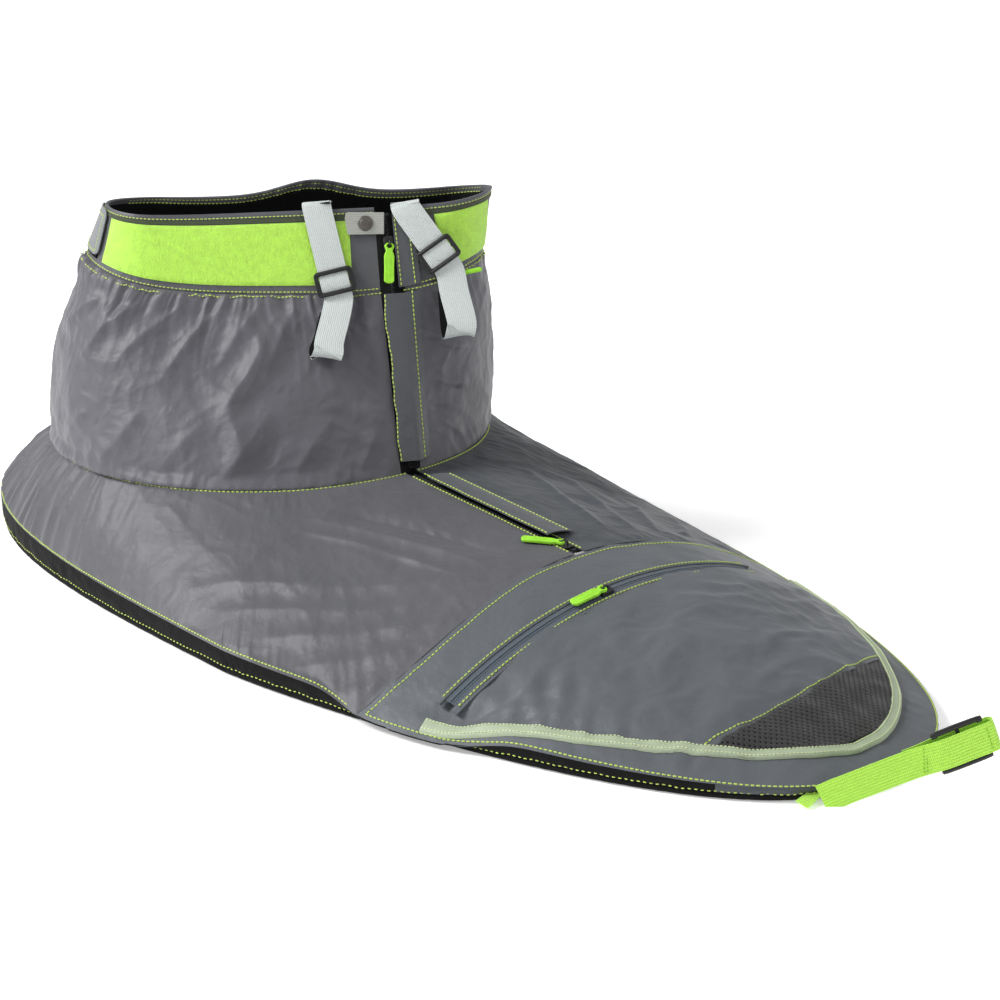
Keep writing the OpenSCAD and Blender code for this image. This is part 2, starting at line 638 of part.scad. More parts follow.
// ---------- grab loop ----------
grab_t = 1.6;
grab_gap = 9;
grab_from = [538, -62, 14];
grab_to = [607, 34, 58];
grab_along = unit(grab_to - grab_from);
grab_out = unit([grab_along[1], -grab_along[0], 0]);
grab_wide = cross(grab_out, grab_along);
function on_grab(t, out) = mix(grab_from, grab_to, t) + grab_out * out;
module grab_loop() {
  half = grab_gap / 2;
  color(LIME) strap(concat(
    [[[524, -78, 3.2], unit([0.6, 0.8, 0.05])], [[530, -73, 7.5], unit([0.3, 0.8, 0.4])],
     [on_grab(0, 0), grab_wide], [on_grab(0.35, 0), grab_wide], [on_grab(0.5, 1.5), grab_wide],
     [on_grab(0.64, half), grab_wide], [on_grab(0.95, half), grab_wide]],
    [for (a = [30:30:150])
      [on_grab(0.95, half * cos(a)) + grab_along * half * sin(a), grab_wide]],
    [[on_grab(0.95, -half), grab_wide], [on_grab(0.64, -half), grab_wide],
     [on_grab(0.5, -2.5), grab_wide], [on_grab(0.4, -2.2), grab_wide]]),
    grab_w, grab_t);
}
// A frame with a bar inside the loop and a rail along each edge of the webbing.
slide_len = 42;
module grab_slide() {
  az = atan2(grab_along[1], grab_along[0]);
  rise = asin(grab_along[2]);
  color(BLACK) translate(on_grab(0.76, 0)) rotate([0, 0, az]) rotate([0, -rise, 0]) {
    for (side = [-1, 1]) translate([0, 0, side * (grab_w / 2 + 3)])
      cube([slide_len, 5, 4], center = true);
    cube([4, 3, grab_w + 4], center = true);
  }
}

deck_starboard();
deck_port();
front_deck();
rand();
bow_rand_patch();
hem_casing();
shock_cord();
pocket_panel();
pocket_mesh();
reflective_tape();
tunnel_starboard();
tunnel_port();
waistband();
waist_elastic();
top_binding();
loop_patch_starboard();
loop_patch_port();
waist_hook_tab();
hook_patch();
tunnel_zip_tape();
tunnel_zip_coil();
deck_zip_tape();
deck_zip_coil();
zip_stops();
tunnel_slider();
tunnel_pull();
deck_slider();
deck_pull();
tunnel_flap();
deck_flap();
band_placket();
pocket_zip_tape();
pocket_zip_coil();
pocket_slider();
pocket_pull();
snap_tab();
snap_cap();
snap_stud();
suspender_tails();
suspender_starboard();
suspender_port();
triglide_starboard();
triglide_port();
waist_toggle();
grab_loop();
grab_slide();
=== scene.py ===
import math

import bpy
import numpy as np
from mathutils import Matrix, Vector


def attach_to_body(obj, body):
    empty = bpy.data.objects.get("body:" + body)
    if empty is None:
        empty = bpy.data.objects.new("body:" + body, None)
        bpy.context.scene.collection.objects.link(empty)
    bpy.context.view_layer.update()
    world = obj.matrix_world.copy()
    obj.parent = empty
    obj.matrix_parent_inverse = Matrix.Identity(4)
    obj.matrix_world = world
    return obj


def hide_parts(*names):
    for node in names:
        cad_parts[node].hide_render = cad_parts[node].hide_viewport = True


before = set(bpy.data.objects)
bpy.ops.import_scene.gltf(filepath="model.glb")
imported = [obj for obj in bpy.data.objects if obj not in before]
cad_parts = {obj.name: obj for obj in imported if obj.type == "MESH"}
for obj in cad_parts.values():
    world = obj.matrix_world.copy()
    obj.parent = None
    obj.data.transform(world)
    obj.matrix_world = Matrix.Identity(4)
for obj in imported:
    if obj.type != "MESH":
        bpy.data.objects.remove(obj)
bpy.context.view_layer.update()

MM = 0.001

# ---------- camera, floor and light ----------
CAMERA_AT = (1.6028, -1.3730, 0.8262)
CAMERA_TO = (0.0621, 0.0, 0.11605)
LENS_MM, SENSOR_MM = 85.0, 36.0
WORLD_LIGHT = 0.40
FLOOR_HALF, FLOOR_Z, FLOOR_GLOW = 30.0, -0.0005, 0.35


def aim(obj, target):
    direction = Vector(target) - obj.location
    obj.rotation_euler = direction.to_track_quat("-Z", "Y").to_euler()


def make_camera():
    data = bpy.data.cameras.new("camera")
    data.lens = LENS_MM
    data.sensor_width = SENSOR_MM
    cam = bpy.data.objects.new("camera", data)
    bpy.context.scene.collection.objects.link(cam)
    cam.location = CAMERA_AT
    aim(cam, CAMERA_TO)
    bpy.context.scene.camera = cam


def area_light(name, at, target, size, power):
    data = bpy.data.lights.new(name, "AREA")
    data.shape = "RECTANGLE"
    data.size, data.size_y = size
    data.energy = power
    lamp = bpy.data.objects.new(name, data)
    bpy.context.scene.collection.objects.link(lamp)
    lamp.location = at
    aim(lamp, target)


def sun_light(name, direction, angle, strength):
    data = bpy.data.lights.new(name, "SUN")
    data.energy = strength
    data.angle = math.radians(angle)
    lamp = bpy.data.objects.new(name, data)
    bpy.context.scene.collection.objects.link(lamp)
    lamp.location = direction
    aim(lamp, (0, 0, 0))


def make_stage():
    world = bpy.data.worlds.new("studio")
    world.use_nodes = True
    world.node_tree.nodes["Background"].inputs["Color"].default_value = (1, 1, 1, 1)
    world.node_tree.nodes["Background"].inputs["Strength"].default_value = WORLD_LIGHT
    bpy.context.scene.world = world
    bpy.context.scene.view_settings.view_transform = "Standard"
    half = FLOOR_HALF
    data = bpy.data.meshes.new("floor")
    data.from_pydata([(-half, -half, 0), (half, -half, 0), (half, half, 0), (-half, half, 0)],
                     [], [(0, 1, 2, 3)])
    floor = bpy.data.objects.new("floor", data)
    bpy.context.scene.collection.objects.link(floor)
    floor.location.z = FLOOR_Z
    paint = plain("floor_paint", (0.97, 0.97, 0.97), 0.9, 0.1)
    shader = paint.node_tree.nodes["Principled BSDF"]
    shader.inputs["Emission Color"].default_value = (1, 1, 1, 1)
    shader.inputs["Emission Strength"].default_value = FLOOR_GLOW
    data.materials.append(paint)
    sun_light("key", (-0.70, -0.85, 1.05), 20, 2.1)
    sun_light("fill", (1.2, 0.5, 1.3), 50, 0.6)
    area_light("window", (-1.1, -1.6, 1.3), (-0.2, -0.1, 0.22), (1.0, 0.6), 16)


# ---------- materials ----------
def srgb(r, g, b):
    """A colour given in 0 to 255, as the linear colour that shaders take."""
    def linear(c):
        c /= 255
        return c / 12.92 if c <= 0.04045 else ((c + 0.055) / 1.055) ** 2.4
    return (linear(r), linear(g), linear(b))


def new_material(name, rough, specular):
    mat = bpy.data.materials.new(name)
    mat.use_nodes = True
    shader = mat.node_tree.nodes["Principled BSDF"]
    shader.inputs["Roughness"].default_value = rough
    shader.inputs["Specular IOR Level"].default_value = specular
    return mat, shader


def node(mat, kind, inputs=(), **settings):
    """Adds a shader node. inputs maps a socket's name or number to a value or to another socket."""
    made = mat.node_tree.nodes.new("ShaderNode" + kind)
    for key, value in settings.items():
        setattr(made, key, value)
    for key, value in dict(inputs).items():
        if isinstance(value, bpy.types.NodeSocket):
            mat.node_tree.links.new(value, made.inputs[key])
        else:
            made.inputs[key].default_value = value
    return made


def sum_of(mat, a, b):
    return node(mat, "Math", {0: a, 1: b}, operation="ADD").outputs[0]


def scaled(mat, a, factor):
    return node(mat, "Math", {0: a, 1: factor}, operation="MULTIPLY").outputs[0]


def noise_of(mat, scale, detail=2.0, rough=0.5):
    where = node(mat, "TexCoord").outputs["Object"]
    return node(mat, "TexNoise", {"Vector": where, "Scale": scale, "Detail": detail,
                                  "Roughness": rough}).outputs["Fac"]


def ridges_of(mat, scale):
    """Noise folded about its middle, so that it has creases."""
    centred = node(mat, "Math", {0: noise_of(mat, scale, 2.0), 1: 0.5}, operation="SUBTRACT")
    return node(mat, "Math", {0: centred.outputs[0]}, operation="ABSOLUTE").outputs[0]


def shade(mat, shader, rgb, factor, low, high):
    """Colours the surface with rgb, from low to high times its brightness as factor goes up."""
    ramp = node(mat, "ValToRGB", {"Fac": factor})
    stops = ramp.color_ramp.elements
    stops[0].position, stops[1].position = 0.3, 0.7
    stops[0].color = (*(c * low for c in rgb), 1)
    stops[1].color = (*(min(c * high, 1) for c in rgb), 1)
    mat.node_tree.links.new(ramp.outputs["Color"], shader.inputs["Base Color"])


def bump(mat, shader, height, distance, strength=1.0):
    made = node(mat, "Bump", {"Height": height, "Strength": strength, "Distance": distance})
    mat.node_tree.links.new(made.outputs["Normal"], shader.inputs["Normal"])


def plain(name, rgb, rough, specular):
    """A smooth finish with a faint change of brightness and grain."""
    mat, shader = new_material(name, rough, specular)
    shade(mat, shader, rgb, noise_of(mat, 6.0), 0.99, 1.01)
    return mat


def ribs(mat, axis, pitch):
    """A wave between 0 and 1 along one direction of the cut cloth: x is along it and y across."""
    cut = node(mat, "Attribute", attribute_name="cut").outputs["Vector"]
    along = node(mat, "SeparateXYZ", {0: cut}).outputs[axis]
    turns = scaled(mat, along, 2 * math.pi / pitch)
    wave = node(mat, "Math", {0: turns}, operation="SINE").outputs[0]
    return node(mat, "MapRange", {"Value": wave, "From Min": -1.0, "From Max": 1.0}).outputs[0]


def taffeta(name, rgb, rough=0.47, sheen=0.10, crinkle=0.6, specular=0.34):
    """Coated nylon: a fine heathered weave, small crinkles and soft patches of wear."""
    mat, shader = new_material(name, rough, specular)
    shader.inputs["Sheen Weight"].default_value = sheen
    shader.inputs["Sheen Roughness"].default_value = 0.5
    patches = noise_of(mat, 9.0, 3.0)
    grain = noise_of(mat, 950.0, 2.0)
    mixed = sum_of(mat, scaled(mat, patches, 0.45), scaled(mat, grain, 0.55))
    shade(mat, shader, rgb, mixed, 0.90, 1.11)
    gloss = node(mat, "MapRange", {"Value": patches, "To Min": rough - 0.07, "To Max": rough + 0.09})
    mat.node_tree.links.new(gloss.outputs[0], shader.inputs["Roughness"])
    fine = ridges_of(mat, 34.0)
    finer = ridges_of(mat, 95.0)
    height = sum_of(mat, scaled(mat, fine, crinkle), scaled(mat, finer, 0.35 * crinkle))
    bump(mat, shader, sum_of(mat, height, scaled(mat, grain, 0.05)), 0.0030)
    return mat


def webbing(name, rgb, along, across, rough=0.7, depth=0.0004):
    """Woven tape with ribs along it and picks across it."""
    mat, shader = new_material(name, rough, 0.25)
    shader.inputs["Sheen Weight"].default_value = 0.2
    rib = ribs(mat, "Y", across)
    pick = ribs(mat, "X", along)
    height = sum_of(mat, scaled(mat, rib, 0.6), scaled(mat, pick, 0.4))
    tint = sum_of(mat, scaled(mat, height, 0.6), scaled(mat, noise_of(mat, 420.0, 2.0), 0.4))
    shade(mat, shader, rgb, tint, 0.86, 1.08)
    bump(mat, shader, height, depth)
    return mat


def pile(name, rgb):
    """Brushed loop tape: a matted pile of fine loops."""
    mat, shader = new_material(name, 0.95, 0.1)
    shader.inputs["Sheen Weight"].default_value = 0.35
    shader.inputs["Sheen Roughness"].default_value = 0.8
    loops = noise_of(mat, 620.0, 4.0, 0.7)
    clumps = noise_of(mat, 150.0, 3.0)
    mixed = sum_of(mat, scaled(mat, loops, 0.6), scaled(mat, clumps, 0.4))
    shade(mat, shader, rgb, mixed, 0.78, 1.16)
    bump(mat, shader, mixed, 0.0016)
    return mat


def moulded(name, rgb, rough, specular=0.45, grain=320.0):
    """Moulded plastic, rubber or enamel with a fine grain and rubbed patches."""
    mat, shader = new_material(name, rough, specular)
    fine = noise_of(mat, grain, 3.0)
    shade(mat, shader, rgb, noise_of(mat, 90.0, 3.0), 0.88, 1.12)
    gloss = node(mat, "MapRange", {"Value": fine, "To Min": rough - 0.06, "To Max": rough + 0.10})
    mat.node_tree.links.new(gloss.outputs[0], shader.inputs["Roughness"])
    bump(mat, shader, fine, 0.0002, 0.6)
    return mat


def thread(name, rgb):
    """Twisted sewing thread."""
    mat, shader = new_material(name, 0.6, 0.3)
    shader.inputs["Sheen Weight"].default_value = 0.2
    shade(mat, shader, rgb, noise_of(mat, 900.0, 2.0), 0.82, 1.12)
    return mat


def beaded(name, rgb):
    """Reflective tape: a pale film of glass beads over a woven back."""
    mat, shader = new_material(name, 0.42, 0.5)
    beads = node(mat, "TexVoronoi", {"Vector": node(mat, "TexCoord").outputs["Object"],
                                     "Scale": 1100.0}).outputs["Distance"]
    tint = sum_of(mat, scaled(mat, beads, 0.5), scaled(mat, noise_of(mat, 60.0, 3.0), 0.5))
    shade(mat, shader, rgb, tint, 0.90, 1.08)
    bump(mat, shader, beads, 0.0002)
    return mat


M = {
    "tunnel": taffeta("tunnel_fabric", srgb(92, 91, 97)),
    "deck": taffeta("deck_fabric", srgb(88, 88, 93)),
    # The far deck cloth is a darker copy of the deck cloth: painted shade on the port half, which faces
    # away from the key light. The bow patch wears the same grey as its own colour.
    "far": taffeta("far_deck_fabric", srgb(66, 70, 75)),
    "front": taffeta("front_fabric", srgb(90, 94, 99)),
    "flap": taffeta("flap_fabric", srgb(84, 86, 90)),
    "band": taffeta("band_fabric", srgb(86, 87, 91)),
    # Black lining cloth, also used for sheets of painted shade under the zip flaps, inside the pocket
    # and at the foot of the zips.
    "lining": taffeta("black_lining", srgb(22, 22, 23), 0.7, 0.0, 0.3, 0.2),
    "rand": taffeta("black_rand", srgb(13, 13, 13), 0.7, 0.0, 0.8, 0.14),
    "binding": webbing("olive_binding", srgb(70, 78, 58), 1.2, 1.6, 0.8),
    "loop": pile("loop_pile", srgb(178, 233, 60)),
    "lime_webbing": webbing("lime_webbing", srgb(187, 243, 88), 1.6, 2.6, depth=0.0007),
    "elastic": webbing("elastic_webbing", srgb(204, 211, 209), 1.3, 1.9, 0.75),
    "tab": webbing("tab_webbing", srgb(134, 136, 140), 1.2, 1.6),
    "snap_web": webbing("snap_webbing", srgb(168, 170, 163), 1.2, 1.7),
    "mesh": webbing("mesh_yarn", srgb(46, 46, 46), 0.7, 0.7, 0.55, 0.0002),
    "tape": beaded("reflective_tape", srgb(165, 178, 150)),
    "zip_tape": webbing("zip_tape", srgb(84, 94, 104), 0.9, 1.4, 0.7, 0.0003),
    "coil": moulded("zip_coil", srgb(42, 44, 48), 0.45),
    "black": moulded("black_plastic", srgb(34, 34, 34), 0.38),
    "metal": moulded("black_enamel", srgb(30, 30, 31), 0.28, 0.6),
    "snap": moulded("snap_metal", srgb(80, 75, 70), 0.36, 0.6),
    "rubber": moulded("lime_rubber", srgb(160, 232, 58), 0.5, 0.4),
    "thread": thread("lime_thread", srgb(190, 214, 96)),
    "pale_thread": thread("pale_thread", srgb(214, 226, 178)),
    "cord": webbing("braided_cord", srgb(150, 205, 60), 1.5, 1.5),
    "rubber_thread": thread("lime_box_thread", srgb(140, 196, 52)),
}


def lined(name):
    """Materials of a lined cloth: its face, its black back and its edge."""
    return [M[name], M["lining"], M[name]]


def same(name):
    """One material on all sides of a piece."""
    return [M[name]] * 3


# ---------- numbers shared with the CAD model ----------
DECK_HALF_W = 275.0
BOW_LEN = 535.0
STERN_LEN = 582.0
STERN_RAND_H = 35.0
BOW_RAND_H = 13.0
PEAK_H = 112.0
SEAM_R = 221.0
TUNNEL_BACK = 288.0
WAIST_TURN = -41.7
WAIST_A = 190.0
WAIST_B = 50.0
TOP_H = 351.0
SWELL = 24.0
STRAP_W = 28.0
GRAB_W = 26.0
REFLECT_W = 9.0
BOW_N = 1.26
BOW_M = 2.45
STERN_N = 3.1
PEAK_Q = 1.82
ARCH_Q = 2.1
PEAK_X = SEAM_R - TUNNEL_BACK
PANEL_X = 169.0
WAIST_H = 272.0
WAIST_SIDE = 195.0
WAIST_DEEP = 72.0
WAIST_L = 20.0
WAIST_S = 31.0
TOP_L = 35.0
TOP_S = 25.0
TOP_TWIST = 0.0163
FAR_ARCH = 14.0
HEM_H = 8.0
HEM_IN = 2.0
HEM_W = 9.0
ZIP_HALF = 6.0
PLACKET_HALF = 12.0

UP = np.array([0.0, 0.0, 1.0])
_turn = math.radians(-WAIST_TURN)
ACROSS = np.array([math.sin(_turn), math.cos(_turn), 0.0])
FACING = np.array([math.cos(_turn), -math.sin(_turn), 0.0])
CENTRE = np.array([-TUNNEL_BACK, 0.0, 0.0])
ZIP_U = -WAIST_TURN / 360
BASE_LEN = 2 * math.pi * SEAM_R
WAIST_LEN = 2 * math.pi * WAIST_DEEP + 4 * (WAIST_SIDE - WAIST_DEEP)
FACE_LEAN = (WAIST_S + WAIST_DEEP - TOP_S - WAIST_B) / (TOP_H - WAIST_H)


def mix(a, b, t):
    return a + (b - a) * t


def unit(v):
    return v / np.maximum(np.linalg.norm(v, axis=-1, keepdims=True), 1e-9)


def stack(*parts):
    return np.stack(np.broadcast_arrays(*parts), -1).astype(float)


def smooth(t):
    t = np.clip(t, 0, 1)
    return t * t * (3 - 2 * t)


def noise(x, y, seed=0):
    """Smooth gradient noise between about -1 and 1, with features of size 1."""
    x, y = np.broadcast_arrays(np.asarray(x, float), np.asarray(y, float))
    x, y = 0.8 * x + 0.6 * y + 0.37 * seed, 0.8 * y - 0.6 * x
    xi, yi = np.floor(x), np.floor(y)
    fx, fy = x - xi, y - yi

    def pull(a, b):
        h = np.sin((xi + a) * 127.1 + (yi + b) * 311.7 + seed * 74.7) * 43758.5453
        turn = 2 * math.pi * (h - np.floor(h))
        return np.cos(turn) * (fx - a) + np.sin(turn) * (fy - b)
    ease_x = fx ** 3 * (fx * (fx * 6 - 15) + 10)
    ease_y = fy ** 3 * (fy * (fy * 6 - 15) + 10)
    low = mix(pull(0, 0), pull(1, 0), ease_x)
    high = mix(pull(0, 1), pull(1, 1), ease_x)
    return 1.6 * mix(low, high, ease_y)


def streaks(x, y, seed=0):
    """Noise drawn out along y, for pleats: its lattice lies along the pleats."""
    return noise(0.8 * x - 0.6 * y, 0.6 * x + 0.8 * y, seed)


def pleat(x, y, seed=0):
    """Creased pleats that run along y."""
    return 0.55 - 2 * np.abs(streaks(x + 0.35 * noise(x * 0.5, y, seed + 9), y, seed))


def fractal(x, y, seed=0, octaves=3):
    return sum(noise(x * 2 ** k, y * 2 ** k, seed + k) / 2 ** k for k in range(octaves))


def crease(x, y, seed=0):
    """Crumpled cloth: rounded faces that meet in creases."""
    bend = 0.45 * noise(x * 0.7, y * 0.7, seed + 9)
    return 0.55 - 2 * np.abs(noise(x + bend, y - bend, seed))


# ---------- deck shape ----------
def outline(a, inset=0.0):
    c, s = np.cos(np.radians(a)), np.sin(np.radians(a))
    bow = c >= 0
    x = np.where(bow, (BOW_LEN - inset) * np.abs(c) ** (2 / BOW_N),
                 -(STERN_LEN - inset) * np.abs(c) ** (2 / STERN_N))
    y = np.sign(s) * (DECK_HALF_W - inset) * np.abs(s) ** np.where(bow, 2 / BOW_M, 2 / STERN_N)
    return x, y


def half_w(x):
    bow = np.clip(x / BOW_LEN, 0, 1) ** BOW_N
    stern = np.clip(-x / STERN_LEN, 0, 1) ** STERN_N
    return DECK_HALF_W * np.where(x >= 0, (1 - bow) ** (1 / BOW_M), (1 - stern) ** (1 / STERN_N))


def rim_z(x):
    return mix(STERN_RAND_H, BOW_RAND_H, (x + STERN_LEN) / (STERN_LEN + BOW_LEN))


def ridge_z(x):
    t = np.clip((x - PEAK_X) / (BOW_LEN - PEAK_X), 0, 1)
    return BOW_RAND_H + (PEAK_H - BOW_RAND_H) * (1 - t ** PEAK_Q)


DROOP = 12.5
DROOP_X = 215.0
DROOP_HALF = 78.0
CORNER_OUT = 9.0
CORNER_OUT_X = 212.0
CORNER_OUT_HALF = 66.0


def droop(x, y):
    """How far the rim sags at the starboard corner of the front panel, where it hides the rand."""
    side = np.clip(-y / np.maximum(half_w(x), 1), 0, 1) ** 6
    return DROOP * side * np.exp(-((x - DROOP_X) / DROOP_HALF) ** 4)


def corner_out(x, y):
    """How far the same corner swells outwards past the rim's line."""
    side = np.clip(-y / np.maximum(half_w(x), 1), 0, 1) ** 6
    return CORNER_OUT * side * np.exp(-((x - CORNER_OUT_X) / CORNER_OUT_HALF) ** 4)


def deck_z(x, y):
    across = np.clip(np.abs(y) / np.maximum(half_w(x), 1), 0, 1)
    return rim_z(x) + (ridge_z(x) - rim_z(x)) * (1 - across ** ARCH_Q) - droop(x, y)


def panel_seam_x(r):
    return PANEL_X + 35 * r ** 2 - 38 * r ** 4


def base_z(x):
    return PEAK_H + 0.02 * (x - PEAK_X)


# ---------- tunnel shape ----------
def stadium(u, a, b):
    f = a - b
    d = (u - np.floor(u)) * (2 * math.pi * b + 4 * f)
    half_turn = math.pi * b
    w1, w2 = (d - f) / b, (d - 3 * f - half_turn) / b
    l = np.select([d < f, d < f + half_turn, d < 3 * f + half_turn, d < 3 * f + 2 * half_turn],
                  [d, f + b * np.sin(w1), 2 * f + half_turn - d, -f - b * np.sin(w2)],
                  d - 4 * f - 2 * half_turn)
    s = np.select([d < f, d < f + half_turn, d < 3 * f + half_turn, d < 3 * f + 2 * half_turn],
                  [b + 0 * d, b * np.cos(w1), -b + 0 * d, -b * np.cos(w2)], b)
    return l, s


def place(l, s, z):
    l, s, z = np.broadcast_arrays(l, s, z)
    return CENTRE + l[..., None] * ACROSS + s[..., None] * FACING + z[..., None] * UP


def base_pt(u):
    w = 2 * math.pi * u
    q = place(SEAM_R * np.sin(w), SEAM_R * np.cos(w), 0.0 * u)
    q[..., 2] = base_z(q[..., 0])
    return q


def waist_pt(u):
    l, s = stadium(u, WAIST_SIDE, WAIST_DEEP)
    rise = 26 * (np.abs(l) / WAIST_SIDE) ** 3
    return place(l + WAIST_L, s + WAIST_S - FACE_LEAN * rise * s / WAIST_DEEP, WAIST_H + rise)


def top_pt(u):
    l, s = stadium(u - TOP_TWIST, WAIST_A, WAIST_B)
    far = FAR_ARCH * np.exp(-((l - 10) / 45) ** 2) - 4
    rise = 0.04 * (l - 87) + 6 * (l / WAIST_A) ** 4
    behind = np.clip(-s / WAIST_B, 0, 1)
    return place(l + TOP_L, s + TOP_S - FACE_LEAN * rise * s / WAIST_B,
                 TOP_H + rise + far * behind)


def tunnel_base(u, h):
    p = mix(base_pt(u), waist_pt(u), h[..., None])
    out = p - CENTRE
    out[..., 2] = 0
    free = np.minimum(1, 2.2 * np.sin(math.pi * (u - ZIP_U)) ** 2)
    bulge = SWELL * free * 2 * np.sqrt(np.clip(h * (1 - h), 0, None))
    return p + unit(out) * bulge[..., None]


def band_base(u, h):
    return mix(waist_pt(u), top_pt(u), h[..., None])


def beside_zip(d, h=1.0):
    return ZIP_U + d / mix(BASE_LEN, WAIST_LEN, h)


# ---------- meshes ----------
class Surface:
    """A shape p(a, b) with a relief in millimetres along its outward normal."""

    def __init__(self, base, facing, relief=None):
        self.base, self.facing, self.relief = base, facing, relief

    def normals(self, a, b):
        e = 1e-4
        du = self.base(a + e, b) - self.base(a - e, b)
        dv = self.base(a, b + e) - self.base(a, b - e)
        n = unit(np.cross(du, dv))
        p = self.base(a, b)
        sign = np.sign((n * self.facing(p)).sum(-1, keepdims=True))
        return n * np.where(sign == 0, 1, sign)

    def at(self, a, b, lift=0.0):
        a, b = np.broadcast_arrays(np.asarray(a, float), np.asarray(b, float))
        high = lift if self.relief is None else lift + self.relief(a, b)
        high = np.broadcast_to(high, a.shape)
        return self.base(a, b) + high[..., None] * self.normals(a, b)


def upward(p):
    return np.broadcast_to(UP, p.shape)


def outward(p):
    flat = p - (CENTRE + 20 * ACROSS + 28 * FACING)
    return flat * np.array([1.0, 1.0, 0.0])


def mesh_object(name, points, faces, materials, face_material=None, cut=None, soft=55):
    """Makes a mesh from points in millimetres and an array of quads."""
    points = np.asarray(points, float).reshape(-1, 3)
    faces = np.asarray(faces, int).reshape(-1, 4)
    data = bpy.data.meshes.new(name)
    data.vertices.add(len(points))
    data.vertices.foreach_set("co", (points * MM).ravel())
    data.loops.add(faces.size)
    data.loops.foreach_set("vertex_index", faces.ravel())
    data.polygons.add(len(faces))
    data.polygons.foreach_set("loop_start", np.arange(0, faces.size, 4))
    data.polygons.foreach_set("loop_total", np.full(len(faces), 4))
    data.update(calc_edges=True)
    for m in materials:
        data.materials.append(m)
    if face_material is not None:
        data.polygons.foreach_set("material_index", np.asarray(face_material, int))
    data.polygons.foreach_set("use_smooth", np.ones(len(faces), bool))
    data.set_sharp_from_angle(angle=math.radians(soft))
    if cut is not None:
        flat = np.zeros((len(points), 3))
        flat[:, :2] = np.asarray(cut, float).reshape(-1, 2)
        data.attributes.new("cut", "FLOAT_VECTOR", "POINT").data.foreach_set(
            "vector", flat.ravel())
    data.validate()
    obj = bpy.data.objects.new(name, data)
    bpy.context.scene.collection.objects.link(obj)
    return obj


def quads(index):
    """The four corners of every cell of a grid of point numbers."""
    return np.stack([index[:-1, :-1], index[1:, :-1], index[1:, 1:], index[:-1, 1:]], -1)


def arc_cut(grid):
    """Lengths along and across a grid of points, for weaves: (along the first index, across)."""
    mid = grid[:, grid.shape[1] // 2]
    along = np.concatenate([[0], np.cumsum(np.linalg.norm(np.diff(mid, axis=0), axis=1))])
    row = grid[grid.shape[0] // 2]
    across = np.concatenate([[0], np.cumsum(np.linalg.norm(np.diff(row, axis=0), axis=1))])
    return np.stack(np.meshgrid(along, across, indexing="ij"), -1)


def closed_shell(name, top, low, materials):
    """A closed layer between two grids. materials are those of its top, its underside and its edge."""
    n, m = top.shape[:2]
    index = np.arange(n * m).reshape(n, m)
    outer = quads(index).reshape(-1, 4)
    inner = outer[:, ::-1] + n * m
    parts, kinds = [outer, inner], [0, 1]

    def wall(edge):
        parts.append(np.stack([edge[1:], edge[:-1], edge[:-1] + n * m, edge[1:] + n * m], -1))
        kinds.append(2)
    wall(index[:, 0])
    wall(index[::-1, -1])
    wall(index[0, ::-1])
    wall(index[-1])
    kind = np.concatenate([np.full(len(p), k) for p, k in zip(parts, kinds)])
    faces = np.concatenate(parts)
    mid = top[n // 2, m // 2]
    normal = np.cross(top[n // 2 + 1, m // 2] - mid, top[n // 2, m // 2 + 1] - mid)
    if np.dot(normal, mid - low[n // 2, m // 2]) < 0:
        faces = faces[:, ::-1]
    cut = arc_cut(top)
    points = np.concatenate([top.reshape(-1, 3), low.reshape(-1, 3)])
    return mesh_object(name, points, faces, materials, kind, np.concatenate([cut, cut]))


def panel(name, surface, a, b, low, high, mats):
    """A piece of cloth on a surface, between two heights above it."""
    grid_a, grid_b = np.meshgrid(a, b, indexing="ij")
    top, under = surface.at(grid_a, grid_b, high), surface.at(grid_a, grid_b, low)
    return closed_shell(name, top, under, mats)


def spline(points, per=8):
    """A smooth curve through points."""
    p = np.asarray(points, float)
    q = np.vstack([2 * p[0] - p[1], p, 2 * p[-1] - p[-2]])
    t = np.linspace(0, 1, per, endpoint=False)[:, None]
    runs = []
    for i in range(len(p) - 1):
        p0, p1, p2, p3 = q[i], q[i + 1], q[i + 2], q[i + 3]
        runs.append(0.5 * (2 * p1 + (p2 - p0) * t + (2 * p0 - 5 * p1 + 4 * p2 - p3) * t ** 2
                           + (3 * p1 - p0 - 3 * p2 + p3) * t ** 3))
    return np.vstack([*runs, p[-1:]])


def strap_grid(centres, widths, width, lift=0.0, cols=9):
    tangent = unit(np.gradient(centres, axis=0))
    wide = unit(widths - (widths * tangent).sum(-1, keepdims=True) * tangent)
    normal = np.cross(tangent, wide)
    v = np.linspace(-0.5, 0.5, cols) * width
    return (centres + lift * normal)[:, None] + v[None, :, None] * wide[:, None]


def strap(name, stations, width, thick, mats):
    """Webbing along [centre, width direction] stations, thinner at its two edges."""
    centres = spline([s[0] for s in stations])
    widths = spline([s[1] for s in stations])
    top = strap_grid(centres, widths, width, thick / 2)
    low = strap_grid(centres, widths, width, -thick / 2)
    middle = (top + low) / 2
    edge = np.array([0.45, 0.85, 1, 1, 1, 1, 1, 0.85, 0.45])[None, :, None]
    return closed_shell(name, middle + (top - middle) * edge, middle + (low - middle) * edge,
                        mats), centres, widths


